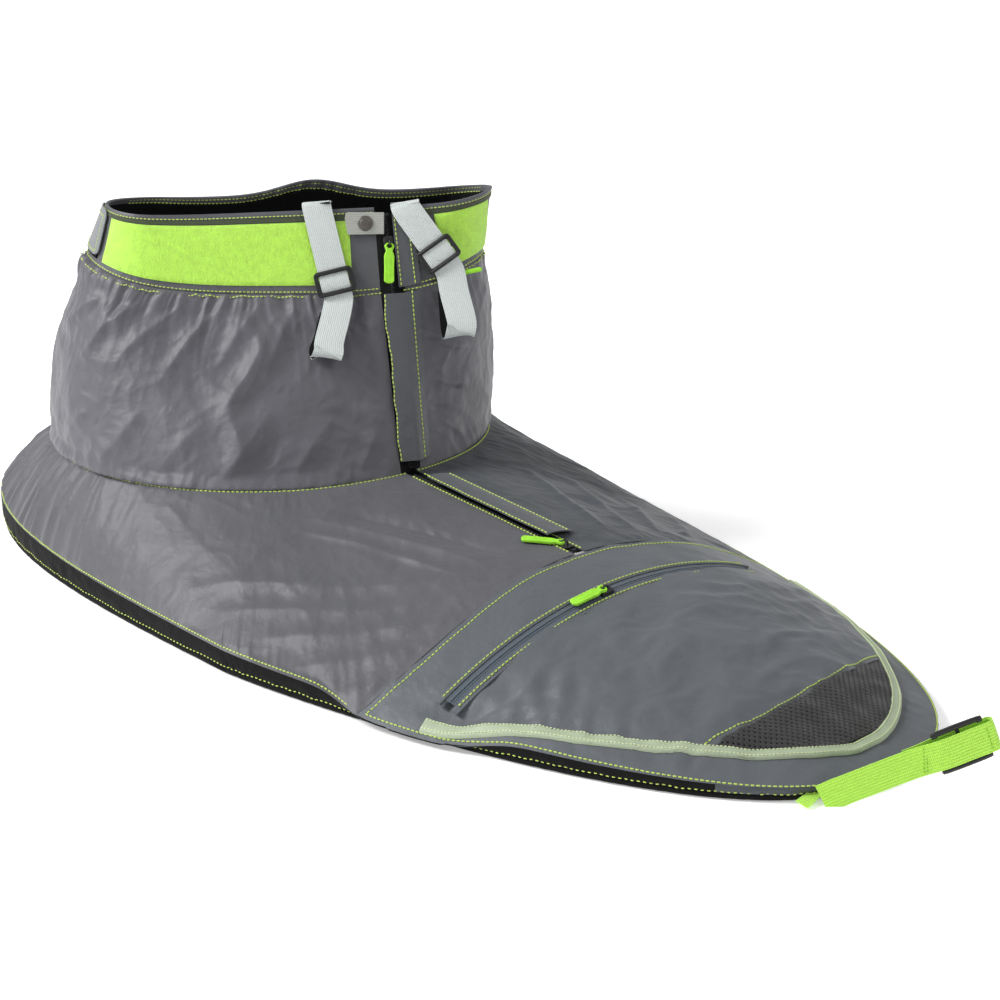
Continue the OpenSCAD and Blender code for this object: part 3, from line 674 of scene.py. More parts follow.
def tube(name, path, radius, mats, sides=10, flat=1.0):
    """A round or flattened rod along a path."""
    path = np.asarray(path, float)
    tangent = unit(np.gradient(path, axis=0))
    guide = np.array([0.02, 0.03, 1.0]) if abs(tangent[0][2]) < 0.9 else np.array([1.0, 0.1, 0])
    side = unit(np.cross(np.broadcast_to(guide, tangent.shape), tangent))
    rise = np.cross(tangent, side)
    w = np.linspace(0, 2 * math.pi, sides, endpoint=False)
    ring = (path[:, None] + radius * (np.cos(w)[None, :, None] * side[:, None]
                                      + flat * np.sin(w)[None, :, None] * rise[:, None]))
    n = len(path)
    index = np.arange(n * sides).reshape(n, sides)
    index = np.hstack([index, index[:, :1]])
    faces = np.stack([index[:-1, :-1], index[:-1, 1:], index[1:, 1:], index[1:, :-1]], -1)
    bulge = 0.35 * radius
    tips = [path[0] - bulge * tangent[0], path[-1] + bulge * tangent[-1]]
    points = np.vstack([ring.reshape(-1, 3), *tips])
    caps = []
    for i in range(0, sides, 2):
        caps.append([n * sides, index[0, i + 2], index[0, i + 1], index[0, i]])
        caps.append([n * sides + 1, index[-1, i], index[-1, i + 1], index[-1, i + 2]])
    return mesh_object(name, points, np.vstack([faces.reshape(-1, 4), caps]), mats)


class Place:
    """A local frame: move and turn work as translate and rotate do, in millimetres and degrees."""

    def __init__(self, at=(0, 0, 0), axes=None):
        self.at = np.array(at, float)
        self.axes = np.eye(3) if axes is None else axes

    def move(self, x, y, z):
        return Place(self.at + self.axes @ np.array([x, y, z], float), self.axes)

    def turn(self, x, y, z):
        cx, cy, cz = (math.cos(math.radians(v)) for v in (x, y, z))
        sx, sy, sz = (math.sin(math.radians(v)) for v in (x, y, z))
        about_x = np.array([[1, 0, 0], [0, cx, -sx], [0, sx, cx]])
        about_y = np.array([[cy, 0, sy], [0, 1, 0], [-sy, 0, cy]])
        about_z = np.array([[cz, -sz, 0], [sz, cz, 0], [0, 0, 1]])
        return Place(self.at, self.axes @ about_z @ about_y @ about_x)

    def points(self, p):
        return self.at + np.asarray(p, float) @ self.axes.T

    def vectors(self, p):
        return np.asarray(p, float) @ self.axes.T


def rounded(w, h, r, steps=5):
    """The outline of a rectangle with round corners, about the origin."""
    points = []
    for k, (sx, sy) in enumerate(((1, 1), (-1, 1), (-1, -1), (1, -1))):
        for j in range(steps + 1):
            a = math.radians(90 * k + 90 * j / steps)
            points.append((sx * (w / 2 - r) + r * math.cos(a), sy * (h / 2 - r) + r * math.sin(a)))
    return points


def plate(name, place, outlines, thick, bevel, mats):
    """A flat plate with round edges, cut from an outline with holes, centred on its thickness."""
    curve = bpy.data.curves.new(name, "CURVE")
    curve.dimensions = "2D"
    curve.fill_mode = "BOTH"
    curve.extrude = thick / 2 - bevel
    curve.bevel_depth = bevel
    curve.bevel_resolution = 2
    curve.offset = -bevel
    for line in outlines:
        path = curve.splines.new("POLY")
        path.points.add(len(line) - 1)
        for q, (x, y) in zip(path.points, line):
            q.co = (x, y, 0, 1)
        path.use_cyclic_u = True
    holder = bpy.data.objects.new(name, curve)
    bpy.context.scene.collection.objects.link(holder)
    data = bpy.data.meshes.new_from_object(holder.evaluated_get(
        bpy.context.evaluated_depsgraph_get()))
    bpy.data.objects.remove(holder)
    co = np.zeros(len(data.vertices) * 3)
    data.vertices.foreach_get("co", co)
    data.vertices.foreach_set("co", (place.points(co.reshape(-1, 3)) * MM).ravel())
    data.materials.clear()
    for m in mats:
        data.materials.append(m)
    data.polygons.foreach_set("use_smooth", np.ones(len(data.polygons), bool))
    data.update()
    data.set_sharp_from_angle(angle=math.radians(40))
    obj = bpy.data.objects.new(name, data)
    bpy.context.scene.collection.objects.link(obj)
    return obj


def join(name, parts):
    """Joins objects into the first, which takes the name."""
    bpy.ops.object.select_all(action="DESELECT")
    for p in parts:
        p.select_set(True)
    bpy.context.view_layer.objects.active = parts[0]
    bpy.ops.object.join()
    parts[0].name = name
    return parts[0]


def attach(obj, body, slot, *nodes):
    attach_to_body(obj, body)
    if nodes:
        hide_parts(*nodes)
    return obj


# ---------- stitches ----------
STITCH = np.array([[x, y * s, (0.5 + z * s) * 0.8]
                   for x, s in ((-0.5, 0.45), (-0.3, 1.0), (0.3, 1.0), (0.5, 0.45))
                   for y, z in ((0.5, -0.9), (0.5, 0.1), (0.25, 0.5), (-0.25, 0.5), (-0.5, 0.1),
                                (-0.5, -0.9))])
STITCH_FACES = np.array([[6 * i + j, 6 * i + (j + 1) % 6, 6 * i + 6 + (j + 1) % 6, 6 * i + 6 + j]
                         for i in range(3) for j in range(6)]
                        + [[0, 3, 2, 1], [0, 5, 4, 3], [18, 19, 20, 21], [18, 21, 22, 23]])


def stitch_points(path, normals, length=3.1, gap=1.3, width=1.15):
    """Corners of every stitch along a path of points with normals."""
    path, normals = np.asarray(path, float), np.asarray(normals, float)
    run = np.concatenate([[0], np.cumsum(np.linalg.norm(np.diff(path, axis=0), axis=1))])
    pitch = length + gap
    at = np.arange(pitch / 2, run[-1], pitch)

    def along(values, where):
        return np.stack([np.interp(where, run, values[:, k]) for k in range(3)], -1)
    up = unit(along(normals, at))
    ahead = unit(along(path, at + 0.5) - along(path, at - 0.5))
    side = np.cross(up, ahead)
    shape = STITCH * np.array([length, width, width * 0.75])
    return (along(path, at)[:, None] + shape[None, :, :1] * ahead[:, None]
            + shape[None, :, 1:2] * side[:, None] + shape[None, :, 2:] * up[:, None])


def stitch_faces(count):
    """The faces of a number of stitches, whose corners follow each other."""
    return (STITCH_FACES[None] + len(STITCH) * np.arange(count)[:, None, None]).reshape(-1, 4)


def stitches(name, body, runs, mat="thread", **size):
    """One mesh of all the stitches along runs, each a (points, normals) pair."""
    blocks = [stitch_points(p, n, **size) for p, n in runs]
    corners = np.concatenate(blocks)
    obj = mesh_object(name, corners.reshape(-1, 3), stitch_faces(len(corners)), [M[mat]])
    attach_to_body(obj, body)
    return obj


def sewn(surface, a, b, lift):
    """A run of stitches on a surface: its points and normals."""
    a, b = np.broadcast_arrays(np.asarray(a, float), np.asarray(b, float))
    return surface.at(a, b, lift), surface.normals(a, b)


# ---------- deck ----------
CORNER = 0.22
CORNER_A = math.degrees(math.acos((float(panel_seam_x(1.0)) / BOW_LEN) ** (BOW_N / 2)))
SEAM_LINE_R = SEAM_R - 0.6

RIM_FOLDS, HOLLOWS, PORT_FOLDS = 5, 3, 4
DECK_FOLD_SCALE = 1.5
CORNER_EASE = 0.13
EASE_STEPS = np.linspace(-1, 1, 9)


def deck_folds():
    """Long folds on the deck, as (points in plan, half width, height).

    Tall and low folds take turns as they fan from the foot of the zip to the starboard rim. Broad ones
    lie along the tunnel's foot, and softer ones fan across the port side.
    """
    made = []
    for t in np.linspace(0, 1, RIM_FOLDS):
        start, end = (mix(165, 190, t), mix(-75, -190, t)), (mix(-100, 130, t), -262)
        middle = (mix(start[0], end[0], 0.45), mix(start[1], end[1], 0.55))
        tall = len(made) % 2 == 0
        made.append(([start, middle, end], 9 if tall else 7, 2.8 if tall else 1.8))
    for k in range(HOLLOWS):
        points = [(-60, -118 - 20 * k), (40, -75 - 23 * k), (160, -45 - 26 * k)]
        made.append((points, 8 - 2 * k, -3.2 if k == 0 else 2.0))
    for k in range(PORT_FOLDS):
        points = [(-40 + 30 * k, 120 + 35 * k), (50 + 25 * k, 90 + 30 * k), (150, 60 + 30 * k)]
        made.append((points, 6, 2.2))
    return made


FOLDS = deck_folds()


def fold_height(x, y, folds):
    """The height of long creased folds at points in plan."""
    total = np.zeros(np.shape(x))
    for points, half, height in folds:
        line = spline([(*p, 0) for p in points], 6)[:, :2]
        near = np.full(np.shape(x), 1e9)
        along = np.zeros(np.shape(x))
        count = len(line) - 1
        for i in range(count):
            p, q = line[i], line[i + 1]
            d = q - p
            t = np.clip(((x - p[0]) * d[0] + (y - p[1]) * d[1]) / (d @ d), 0, 1)
            far = np.hypot(x - p[0] - t * d[0], y - p[1] - t * d[1])
            along = np.where(far < near, (i + t) / count, along)
            near = np.minimum(near, far)
        taper = smooth(along * 3.5) * smooth((1 - along) * 3.5)
        total += height * taper * np.exp(-(near / (half * (0.5 + 0.5 * taper))) ** 1.5)
    return total


def deck_edge(side, a):
    r = np.clip(a / CORNER, 0, 1)
    r = mix(ZIP_HALF / float(half_w(np.float64(PANEL_X))), 1.0, r)
    seam_x = panel_seam_x(r)
    seam_y = side * r * half_w(seam_x)
    turn = mix(CORNER_A, 180.0, np.clip((a - CORNER) / (1 - CORNER), 0, 1))
    rim_x, rim_y = outline(turn)
    on_seam = a < CORNER
    x = np.where(on_seam, seam_x, rim_x)
    y = np.where(on_seam, seam_y, side * rim_y)
    z = np.where(on_seam, deck_z(x, y), rim_z(x) - droop(x, y))
    return x, y - corner_out(x, y), z


def deck_relief(side, p, a, b):
    """Pleats that fan from the tunnel, broad waves, puckers at both seams and the long folds."""
    x, y = p[..., 0], p[..., 1]
    turn = np.degrees(np.arctan2(np.abs(y), x + TUNNEL_BACK))
    reach = np.hypot(x + TUNNEL_BACK, y)
    astern = smooth((turn - 60) / 60)
    sway = turn + 3.0 * noise(turn / 14, reach / 70, 5)
    fan = (0.3 + 2.3 * astern) * pleat(sway / 5.0, reach / 260, 11 + side)
    fan += (0.1 + 1.3 * astern) * pleat(sway / 2.3, reach / 170, 21 + side)
    broad = 1.8 * fractal(x / 120, y / 120, 31 + side) + 0.8 * crease(x / 90, y / 60, 35 + side)
    fine = 0.6 * crease(x / 34, y / 24, 41)
    rim = np.exp(-(1 - b) / 0.06) * 1.5 * noise(a * 118, b * 2, 51)
    rim += np.exp(-(1 - b) / 0.10) * 0.9 * streaks(a * 60, b * 2, 52)
    seam = np.exp(-b / 0.05) * 0.9 * noise(turn / 1.3, b * 3, 61)
    seam += np.exp(-b / 0.14) * 0.8 * pleat(turn / 4.2, b * 3, 62)
    ends = smooth(b / 0.07) * smooth((1 - b) / 0.05) * smooth(a / 0.012)
    stern = smooth((1 - a) / 0.02)
    folds = DECK_FOLD_SCALE * fold_height(x, y, FOLDS)
    return ends * stern * (fan + broad + fine + folds) + ends * (rim + seam)


def deck_surface(side):
    def base(a, b):
        """The ruled sheet, eased in its middle so that the corner throws no crease across it."""
        near = np.exp(-((a - CORNER) / 0.12) ** 2) * smooth(a / 0.06)
        reach = CORNER_EASE * near * 4 * b * (1 - b)
        return sum(ruled(np.clip(a + k * reach, 0, 1), b) for k in EASE_STEPS) / len(EASE_STEPS)

    def ruled(a, b):
        x, y, z = deck_edge(side, a)
        turn = np.maximum(np.arctan2(np.abs(y), x + TUNNEL_BACK), math.asin((ZIP_HALF + 1) / SEAM_R))
        r = SEAM_LINE_R
        sx, sy = r * np.cos(turn) - TUNNEL_BACK, side * r * np.sin(turn)
        crown = 9 * (1 - np.exp(-(np.degrees(turn) / 25) ** 2))
        return stack(mix(sx, x, b), mix(sy, y, b), mix(base_z(sx), z, b) + 4 * b * (1 - b) * crown)
    return Surface(base, upward, lambda a, b: deck_relief(side, base(a, b), a, b))


DECK = {"starboard": deck_surface(-1), "port": deck_surface(1)}
CLOTH = 1.1


def even(lo, hi, count):
    return np.linspace(lo, hi, count)


def corner_ease(surface, a, b):
    """Rounds the crease that runs from the tunnel to the corner between the seam and the rim."""
    z = surface.base(a, b)[..., 2]
    rounded_z = z.copy()
    hold = 4 * b * (1 - b)
    for _ in range(700):
        middle = (rounded_z[:-2] + rounded_z[2:]) / 2
        rounded_z[1:-1] += 0.5 * hold[1:-1] * (middle - rounded_z[1:-1])
    near = np.exp(-((a - CORNER) / 0.09) ** 4)
    shift = np.zeros((*z.shape, 3))
    shift[..., 2] = (rounded_z - z) * near
    return shift


def make_deck():
    # The port half takes the darker far cloth, which paints its shade.
    for name, key, mat in (("starboard", "deck_starboard", "deck"), ("port", "deck_port", "far")):
        a = np.concatenate([even(0.0, CORNER, 131)[:-1], even(CORNER, 1.0, 521)])
        b = np.concatenate([[0.0, 0.004], even(0.012, 0.988, 100), [0.996, 1.0]])
        aa, bb = np.meshgrid(a, b, indexing="ij")
        ease = corner_ease(DECK[name], aa, bb)
        top, low = DECK[name].at(aa, bb, 0.0) + ease, DECK[name].at(aa, bb, -CLOTH) + ease
        obj = closed_shell(key + "_cloth", top, low, lined(mat))
        slot = "tunnel_fabric" if name == "starboard" else "far_deck_fabric"
        attach(obj, "skirt", slot, key)


# ---------- front deck and pocket ----------
def front_relief(x, y):
    """Relief of the front deck, in plan."""
    edge = smooth((1 - np.abs(y) / np.maximum(half_w(x), 1)) / 0.06)
    lift = 1.8 * fractal(x / 110, y / 110, 71) + 0.7 * crease(x / 36, y / 36, 72)
    corner = np.exp(-((x - 262) / 55) ** 2 - ((y + 205) / 34) ** 2)
    lift += 4.0 * corner * noise((x - y) / 17, (x + y) / 60, 73)
    rim_fold = np.exp(-((x - 370) / 90) ** 2 - ((-y - 0.86 * half_w(x)) / 16) ** 2)
    lift += 3.2 * rim_fold * noise((x + 0.6 * y) / 15, y / 40, 74)
    return edge * lift


def front_height(x, y):
    return deck_z(x, y) + front_relief(x, y)


def front_base(r, k):
    x0 = panel_seam_x(r)
    a0 = np.degrees(np.arccos(np.clip(x0 / BOW_LEN, 0, 1) ** (BOW_N / 2)))
    a = np.radians(mix(a0, 1.2, k))
    x = BOW_LEN * np.cos(a) ** (2 / BOW_N)
    y = r * DECK_HALF_W * np.sin(a) ** (2 / BOW_M)
    return stack(x, y - corner_out(x, y), front_height(x, y))


FRONT = Surface(front_base, upward)
POCKET_X = 237.0
POCKET_TIP = 506.0
POCKET_FROM = POCKET_X - 24
POCKET_HALF_W = 228.0


def pocket_w(x):
    t = np.clip((x - POCKET_FROM) / (POCKET_TIP - POCKET_FROM), 0, 1)
    return POCKET_HALF_W * (1 - t ** 1.2) ** (1 / 1.85)


def mesh_x(r):
    return 440 - 14 * r - 16 * r ** 2


def bag(x, y):
    """How the pocket's cloth stands off the deck: slack folds and a dent."""
    inside = smooth((pocket_w(x) - np.abs(y)) / 22)
    slack = 2.6 * fractal(x / 80, y / 80, 81, 2) + 2.0 * crease(x / 52, y / 64, 82)
    slack += 0.9 * crease(x / 24, y / 28, 84)
    slack += 4.2 * np.exp(-((x - 285) / 38) ** 2 - ((y + 165) / 40) ** 2) * noise((x + y) / 16,
                                                                                 (x - y) / 70, 83)
    slack -= 2.8 * np.exp(-((x - 292) / 34) ** 2 - ((y + 92) / 42) ** 2)
    slack += 2.2 * np.exp(-((x - 330) / 22) ** 2 - ((y + 60) / 90) ** 2)
    return inside * (slack + 1.6)


def pocket_base(x, r):
    y = r * np.maximum(pocket_w(x) - 2.5, 1.2)
    return stack(x, y - corner_out(x, y), front_height(x, y))


def pocket_cloth_x(t, r):
    return mix(POCKET_X + 6, mesh_x(r), t)


def pocket_relief(t, r):
    """The cloth lies flat beside the zip and stands off the deck further on."""
    x = pocket_cloth_x(t, r)
    return 2.4 + bag(x, r * pocket_w(x)) * smooth((t - 0.05) / 0.16)


POCKET = Surface(lambda t, r: pocket_base(pocket_cloth_x(t, r), r), upward, pocket_relief)
MESH = Surface(lambda t, r: pocket_base(mix(mesh_x(r) - 4, POCKET_TIP - 4, t), r), upward)


def make_front():
    r = np.concatenate([even(-1, -0.9, 14)[:-1], even(-0.9, 0.9, 90), even(0.9, 1, 14)[1:]])
    k = even(0.0, 1.0, 110)
    obj = panel("front_deck_cloth", FRONT, r, k, -CLOTH, 0.0, lined("front"))
    attach(obj, "skirt", "tunnel_fabric", "front_deck")
    r = even(-1, 1, 120)
    obj = panel("pocket_cloth", POCKET, even(0, 1, 70), r, -0.6, 0.5,
                lined("front"))
    attach(obj, "skirt", "tunnel_fabric", "pocket_panel")
    stitches("pocket_stitches", "skirt", [sewn(POCKET, 0.965, r * 0.97, 0.6)])


def make_mesh_panel():
    """Knitted mesh: a diagonal net whose cells are open, over a black sheet of painted shade for the
    pocket's dark inside.
    """
    cell = 1.45
    r_all, t_all = np.meshgrid(np.arange(-170, 171), np.arange(-130, 131), indexing="ij")
    px = 440 + (r_all + t_all) * cell * 0.7071
    py = 10 + (r_all - t_all) * cell * 0.7071
    width = np.maximum(pocket_w(px) - 3.5, 0.1)
    past_hem = px > mesh_x(np.clip(py / width, -1, 1)) - 3
    inside = (np.abs(py) < width) & past_hem & (px < POCKET_TIP - 6)
    wave = 1.6 * fractal(px / 34, py / 34, 91, 2) + 2.2 * np.exp(-((px - 446) / 26) ** 2)
    pz = front_height(px, py) + 2.6 + wave * smooth((width - np.abs(py)) / 14)
    thread_wave = 0.3 * np.where((r_all + t_all) % 2 == 0, 1, -1)
    points = stack(px, py, pz + thread_wave)
    index = np.arange(points.shape[0] * points.shape[1]).reshape(points.shape[:2])
    hole = (r_all % 3 == 0) & (t_all % 3 == 0)
    keep = (inside[:-1, :-1] & inside[1:, :-1] & inside[1:, 1:] & inside[:-1, 1:]
            & ~hole[:-1, :-1])
    used, faces = np.unique(quads(index)[keep], return_inverse=True)
    flat = points.reshape(-1, 3)[used]
    net = mesh_object("pocket_net", flat, faces.reshape(-1, 4), [M["mesh"]], None, flat[:, :2])
    thick = net.modifiers.new("yarn", "SOLIDIFY")
    thick.thickness = 0.0006
    bpy.context.view_layer.objects.active = net
    bpy.ops.object.modifier_apply(modifier="yarn")
    attach(net, "skirt", "mesh", "pocket_mesh")
    # The black sheet under the net is painted shade: the grey deck lies below, and the pocket is dark
    # only from shade.
    back = panel("pocket_painted_shade_sheet", MESH, even(0, 1, 34), even(-1, 1, 70), 0.5, 1.1,
                 same("lining"))
    attach(back, "skirt", "mesh")


def tape_path():
    """The middle of the reflective tape, from the starboard end round the bow to the port end."""
    t = 1 - (1 - np.linspace(0, 1, 90)) ** 1.6
    x = mix(POCKET_FROM + 14, POCKET_TIP - 1, t)
    y = np.maximum(pocket_w(x), 0.01)
    return np.concatenate([x, x[-2::-1]]), np.concatenate([-y, y[-2::-1]])


def make_tape():
    x, y = tape_path()
    step = unit(stack(np.gradient(x), np.gradient(y)))
    across = np.linspace(-0.5, 0.5, 8) * REFLECT_W
    gx = x[:, None] - across[None] * step[:, 1:2]
    gy = y[:, None] + across[None] * step[:, 0:1]
    gz = front_height(gx, gy)
    edge = np.array([0.2, 0.9, 1.0, 0.92, 0.92, 1.0, 0.9, 0.2])
    ripple = 0.35 * noise(np.arange(len(x))[:, None] / 2.0, across[None] / 6, 96)
    out = gy - corner_out(gx, gy)
    top = stack(gx, out, gz + 3.0 + 0.7 * edge[None] + ripple)
    low = stack(gx, out, gz + 0.4)
    obj = closed_shell("reflective_tape_strip", top, low, same("tape"))
    attach(obj, "skirt", "reflective_tape", "reflective_tape")
    runs = []
    for off in (-0.34, 0.34):
        sx = x - off * REFLECT_W * step[:, 1]
        sy = y + off * REFLECT_W * step[:, 0]
        line = stack(sx, sy - corner_out(sx, sy), front_height(sx, sy) + 3.85)
        runs.append((line, np.broadcast_to(UP, line.shape)))
    stitches("tape_stitches", "skirt", runs, "pale_thread", length=1.9, gap=1.3, width=0.9)


# ---------- rand and hem ----------
BOW_PATCH_A = 24.0


def rand_surface():
    def base(a, v):
        out = 0.9 + 0.9 * np.sin(math.pi * v)
        x, y = outline(a * 360, HEM_IN * (1 - v) + 0.7 - out * 0.9)
        top = np.maximum(rim_z(x) - droop(x, y) - 0.5, HEM_H - 3.5)
        return stack(x, y - v * corner_out(x, y), mix(HEM_H - 1.5, top, v))

    def relief(a, v):
        pucker = noise(a * 210, v * 1.2, 101) + 0.6 * noise(a * 470, v * 2, 102)
        return pucker * (0.25 + 0.9 * (1 - v)) * smooth(v / 0.1) * 0.9
    return Surface(base, lambda p: p * np.array([1.0, 1.0, 0.0]), relief)


RAND = rand_surface()


def make_rand():
    p = BOW_PATCH_A / 360
    obj = panel("rand_cloth", RAND, even(p, 1 - p, 620), even(0, 1, 12), -1.0, 0.0,
                lined("rand"))
    attach(obj, "skirt", "rand_fabric", "rand")
    obj = panel("bow_rand_cloth", RAND, even(-p, p, 110), even(0, 1, 12), -1.0, 0.0,
                lined("far"))
    attach(obj, "skirt", "far_deck_fabric", "bow_rand_patch")
    a = even(0, 1, 1500)
    stitches("hem_stitches", "skirt", [sewn(RAND, a, 0.12, 0.05)], length=2.6, gap=2.6, width=0.95)


def make_hem():
    """The gathered casing round the shock cord: a soft tube with puckers all round."""
    turns, sides = 720, 14
    a, w = np.meshgrid(np.linspace(0, 1, turns, endpoint=False),
                       np.linspace(0, 2 * math.pi, sides, endpoint=False), indexing="ij")
    pucker = 1 + 0.07 * noise(a * 300, np.cos(w) * 1.5, 111) + 0.04 * noise(a * 640, w, 112)
    half_wide, half_h = HEM_W / 2, HEM_H / 2
    x, y = outline(a * 360, HEM_IN + half_wide - half_wide * pucker * np.cos(w))
    z = half_h + half_h * np.sign(np.sin(w)) * np.abs(np.sin(w)) ** 0.8 * np.minimum(pucker, 1.0)
    ring = stack(x, y, z)
    index = np.arange(turns * sides).reshape(turns, sides)
    index = np.vstack([index, index[:1]])
    index = np.hstack([index, index[:, :1]])
    obj = mesh_object("hem_casing_cloth", ring.reshape(-1, 3), quads(index), [M["rand"]])
    attach(obj, "skirt", "rand_fabric", "hem_casing")


# ---------- tunnel ----------
def tunnel_folds():
    """Folds on the tunnel, as (points, half width, height).

    A point is the length round from the zip and the share of the height. Gathers hang from the waist
    seam and others rise from the deck, at even spacing. A deeper fold winds down the front.
    """
    made = [([(-160, 0.97), (-120, 0.75), (-134, 0.45), (-120, 0.2), (-130, 0.05)], 9, 5.0)]
    for k, x in enumerate(range(-260, -30, 34)):
        depth = 0.62 - 0.10 * (k % 2)
        made.append(([(x, 0.97), (1.08 * x - 6, 0.8), (1.15 * x - 10, depth)], 7, 2.4 + 0.8 * (k % 2)))
    for k, x in enumerate(range(-270, -30, 46)):
        made.append(([(x, 0.05), (x + 14, 0.22), (x + 30, 0.38 + 0.06 * (k % 2))], 8, 2.7))
    for h in (0.94, 0.70, 0.48):
        made.append(([(28, h), (50, h - 0.08), (76, h - 0.12)], 5, 2.5))
    return made


def tunnel_relief(u, h):
    from_zip_signed = ((u - ZIP_U + 0.5) % 1 - 0.5) * WAIST_LEN
    round_it = u * mix(BASE_LEN, WAIST_LEN, 0.5)
    rise = h * 170
    top = 1 - h
    sway = 10 * noise(round_it / 60, h * 2.2, 120) + 26 * h * h
    gather = 1.6 * np.exp(-top / 0.09) * streaks((round_it + sway) / 8, h * 1.5, 121)
    gather += 2.6 * np.exp(-top / 0.26) * pleat((round_it + sway) / 34, h * 1.3, 122)
    gather += 1.7 * np.exp(-top / 0.18) * pleat((round_it + sway) / 14, h * 1.8, 129)
    pucker = 1.3 * np.exp(-h / 0.045) * streaks(round_it / 6.5, h * 4, 123)
    pucker += 1.8 * np.exp(-h / 0.14) * pleat(round_it / 24, h * 3, 130)
    big = 2.0 * fractal(round_it / 140, rise / 120, 124, 2) - 3.0
    big = big - 5.0 * np.exp(-((from_zip_signed + 330) / 90) ** 2)
    crumple = 2.4 * crease(round_it / 86, rise / 74, 125) + 1.1 * crease(round_it / 44, rise / 40, 126)
    crumple += 0.45 * crease(round_it / 18, rise / 16, 127)
    crumple += 1.15 * fold_height(from_zip_signed, rise * 1.03, TUNNEL_LINES)
    body = smooth(h / 0.10) * smooth(top / 0.10)
    from_zip = np.abs(from_zip_signed)
    from_rear = np.abs((u - ZIP_U) % 1 - 0.5) * WAIST_LEN
    seams = smooth((from_zip - 10) / 26) * smooth(from_rear / 22)
    ends = smooth(h / 0.012) * smooth(top / 0.012)
    zip_folds = np.exp(-((from_zip - 38) / 24) ** 2) * 1.8 * pleat(rise / 17 + round_it / 40,
                                                                   round_it / 60, 128)
    return seams * (body * (big + crumple) + ends * (gather + pucker)) + body * zip_folds * smooth(
        (from_zip - 14) / 10)


TUNNEL_LINES = [([(x, h * 175) for x, h in points], half, height)
                for points, half, height in tunnel_folds()]
TUNNEL = Surface(tunnel_base, outward, tunnel_relief)
REAR_U = ZIP_U + 0.5


def tunnel_grid(side, cols, rows):
    """Columns from the zip's edge to the rear seam, and rows from the deck to the waist."""
    h = np.concatenate([[0.0, 0.006], even(0.015, 0.985, rows), [0.992, 0.998, 1.0]])
    t = np.linspace(0, 1, cols)
    start = beside_zip(side * PLACKET_HALF, h)
    end = REAR_U if side > 0 else REAR_U - 1
    u = start[None] * (1 - t[:, None]) + (end - side * 0.0004) * t[:, None]
    return u, np.broadcast_to(h, u.shape)


def make_tunnel():
    for side, key in ((-1, "tunnel_starboard"), (1, "tunnel_port")):
        u, h = tunnel_grid(side, 380, 110)
        top, low = TUNNEL.at(u, h, 0.0), TUNNEL.at(u, h, -CLOTH)
        obj = closed_shell(key + "_cloth", top, low, lined("tunnel"))
        attach(obj, "skirt", "tunnel_fabric", key)
    a = even(beside_zip(14, 0.0), beside_zip(-14, 0.0) + 1, 1400)
    stitches("waist_seam_stitches", "skirt", [sewn(TUNNEL, a, 0.985, 0.6)], length=2.7, gap=1.2,
             width=1.1)


# ---------- waistband ----------
def band_relief(u, h):
    round_it = u * WAIST_LEN
    low = 1.0 * np.exp(-h / 0.10) * noise(round_it / 8, h * 3, 131) * smooth(h / 0.02)
    wave = 1.0 * fractal(round_it / 120, h * 1.2, 132, 2)
    rear = smooth((np.abs((u - 0.52 + 0.5) % 1 - 0.5) - 0.05) / 0.04)
    gathers = (1 - rear) * 1.2 * noise(round_it / 7, h * 2, 133)
    ends = smooth(h / 0.03) * smooth((1 - h) / 0.03)
    from_zip = np.abs((u - ZIP_U + 0.5) % 1 - 0.5) * WAIST_LEN
    return (wave + gathers) * ends * smooth((from_zip - 8) / 30) + low + 1.0 * np.exp(-h / 0.05)


BAND = Surface(band_base, outward, band_relief)
BAND_FROM = beside_zip(PLACKET_HALF)
BAND_TO = beside_zip(-PLACKET_HALF) + 1
PATCH_LOW, PATCH_HIGH = 0.10, 0.86


def make_band():
    u = even(BAND_FROM, BAND_TO, 560)
    obj = panel("waistband_cloth", BAND, u, even(0.002, 1.0, 30), -CLOTH - 0.9, 0.0,
                lined("band"))
    attach(obj, "skirt", "tunnel_fabric", "waistband")
    elastic = Surface(band_base, outward, lambda a, b: 0.5 * noise(a * 380, b * 2, 141))
    obj = panel("waist_elastic_strip", elastic, even(0.24, 0.80, 260), even(0.12, 0.88, 12),
                -4.2, -2.9, same("rand"))
    attach(obj, "skirt", "rand_fabric", "waist_elastic")
    fold = closed_shell("top_fold", *top_fold(u), same("band"))
    attach(fold, "skirt", "binding")
    line = panel("top_binding_strip", BAND, u[2:-2], even(0.872, 0.925, 5), 0.1, 1.0,
                 same("binding"))
    attach(line, "skirt", "binding", "top_binding")
    runs = [sewn(BAND, u, 0.945, 0.1), sewn(BAND, u, 0.022, 0.1)]
    inner = even(0.30, 0.72, 500)
    for h in (0.90, 0.962):
        p, n = sewn(BAND, inner, h, -2.1)
        runs.append((p, -n))
    stitches("waistband_stitches", "skirt", runs, length=2.7, gap=1.2, width=1.05)


def top_fold(u):
    """The folded hem along the top edge: it runs over the edge and down the inside."""
    heights = [0.935, 0.97, 0.995, 1.006, 1.006, 0.995, 0.96, 0.90]
    lifts = [0.25, 0.55, 0.55, 0.1, -2.1, -2.6, -2.6, -2.4]
    outer = np.stack([BAND.at(u, np.minimum(h, 1.0), l) + max(h - 1, 0) * 80 * UP
                      for h, l in zip(heights, lifts)], 1)
    inner_lifts = [-0.1, 0.0, 0.0, -0.4, -1.6, -2.05, -2.05, -2.05]
    inner_h = [0.935, 0.97, 0.99, 0.999, 0.999, 0.99, 0.96, 0.90]
    inner = np.stack([BAND.at(u, h, l) for h, l in zip(inner_h, inner_lifts)], 1)
    return outer, inner


PATCH_UP, PATCH_TOP = 0.3, 1.9


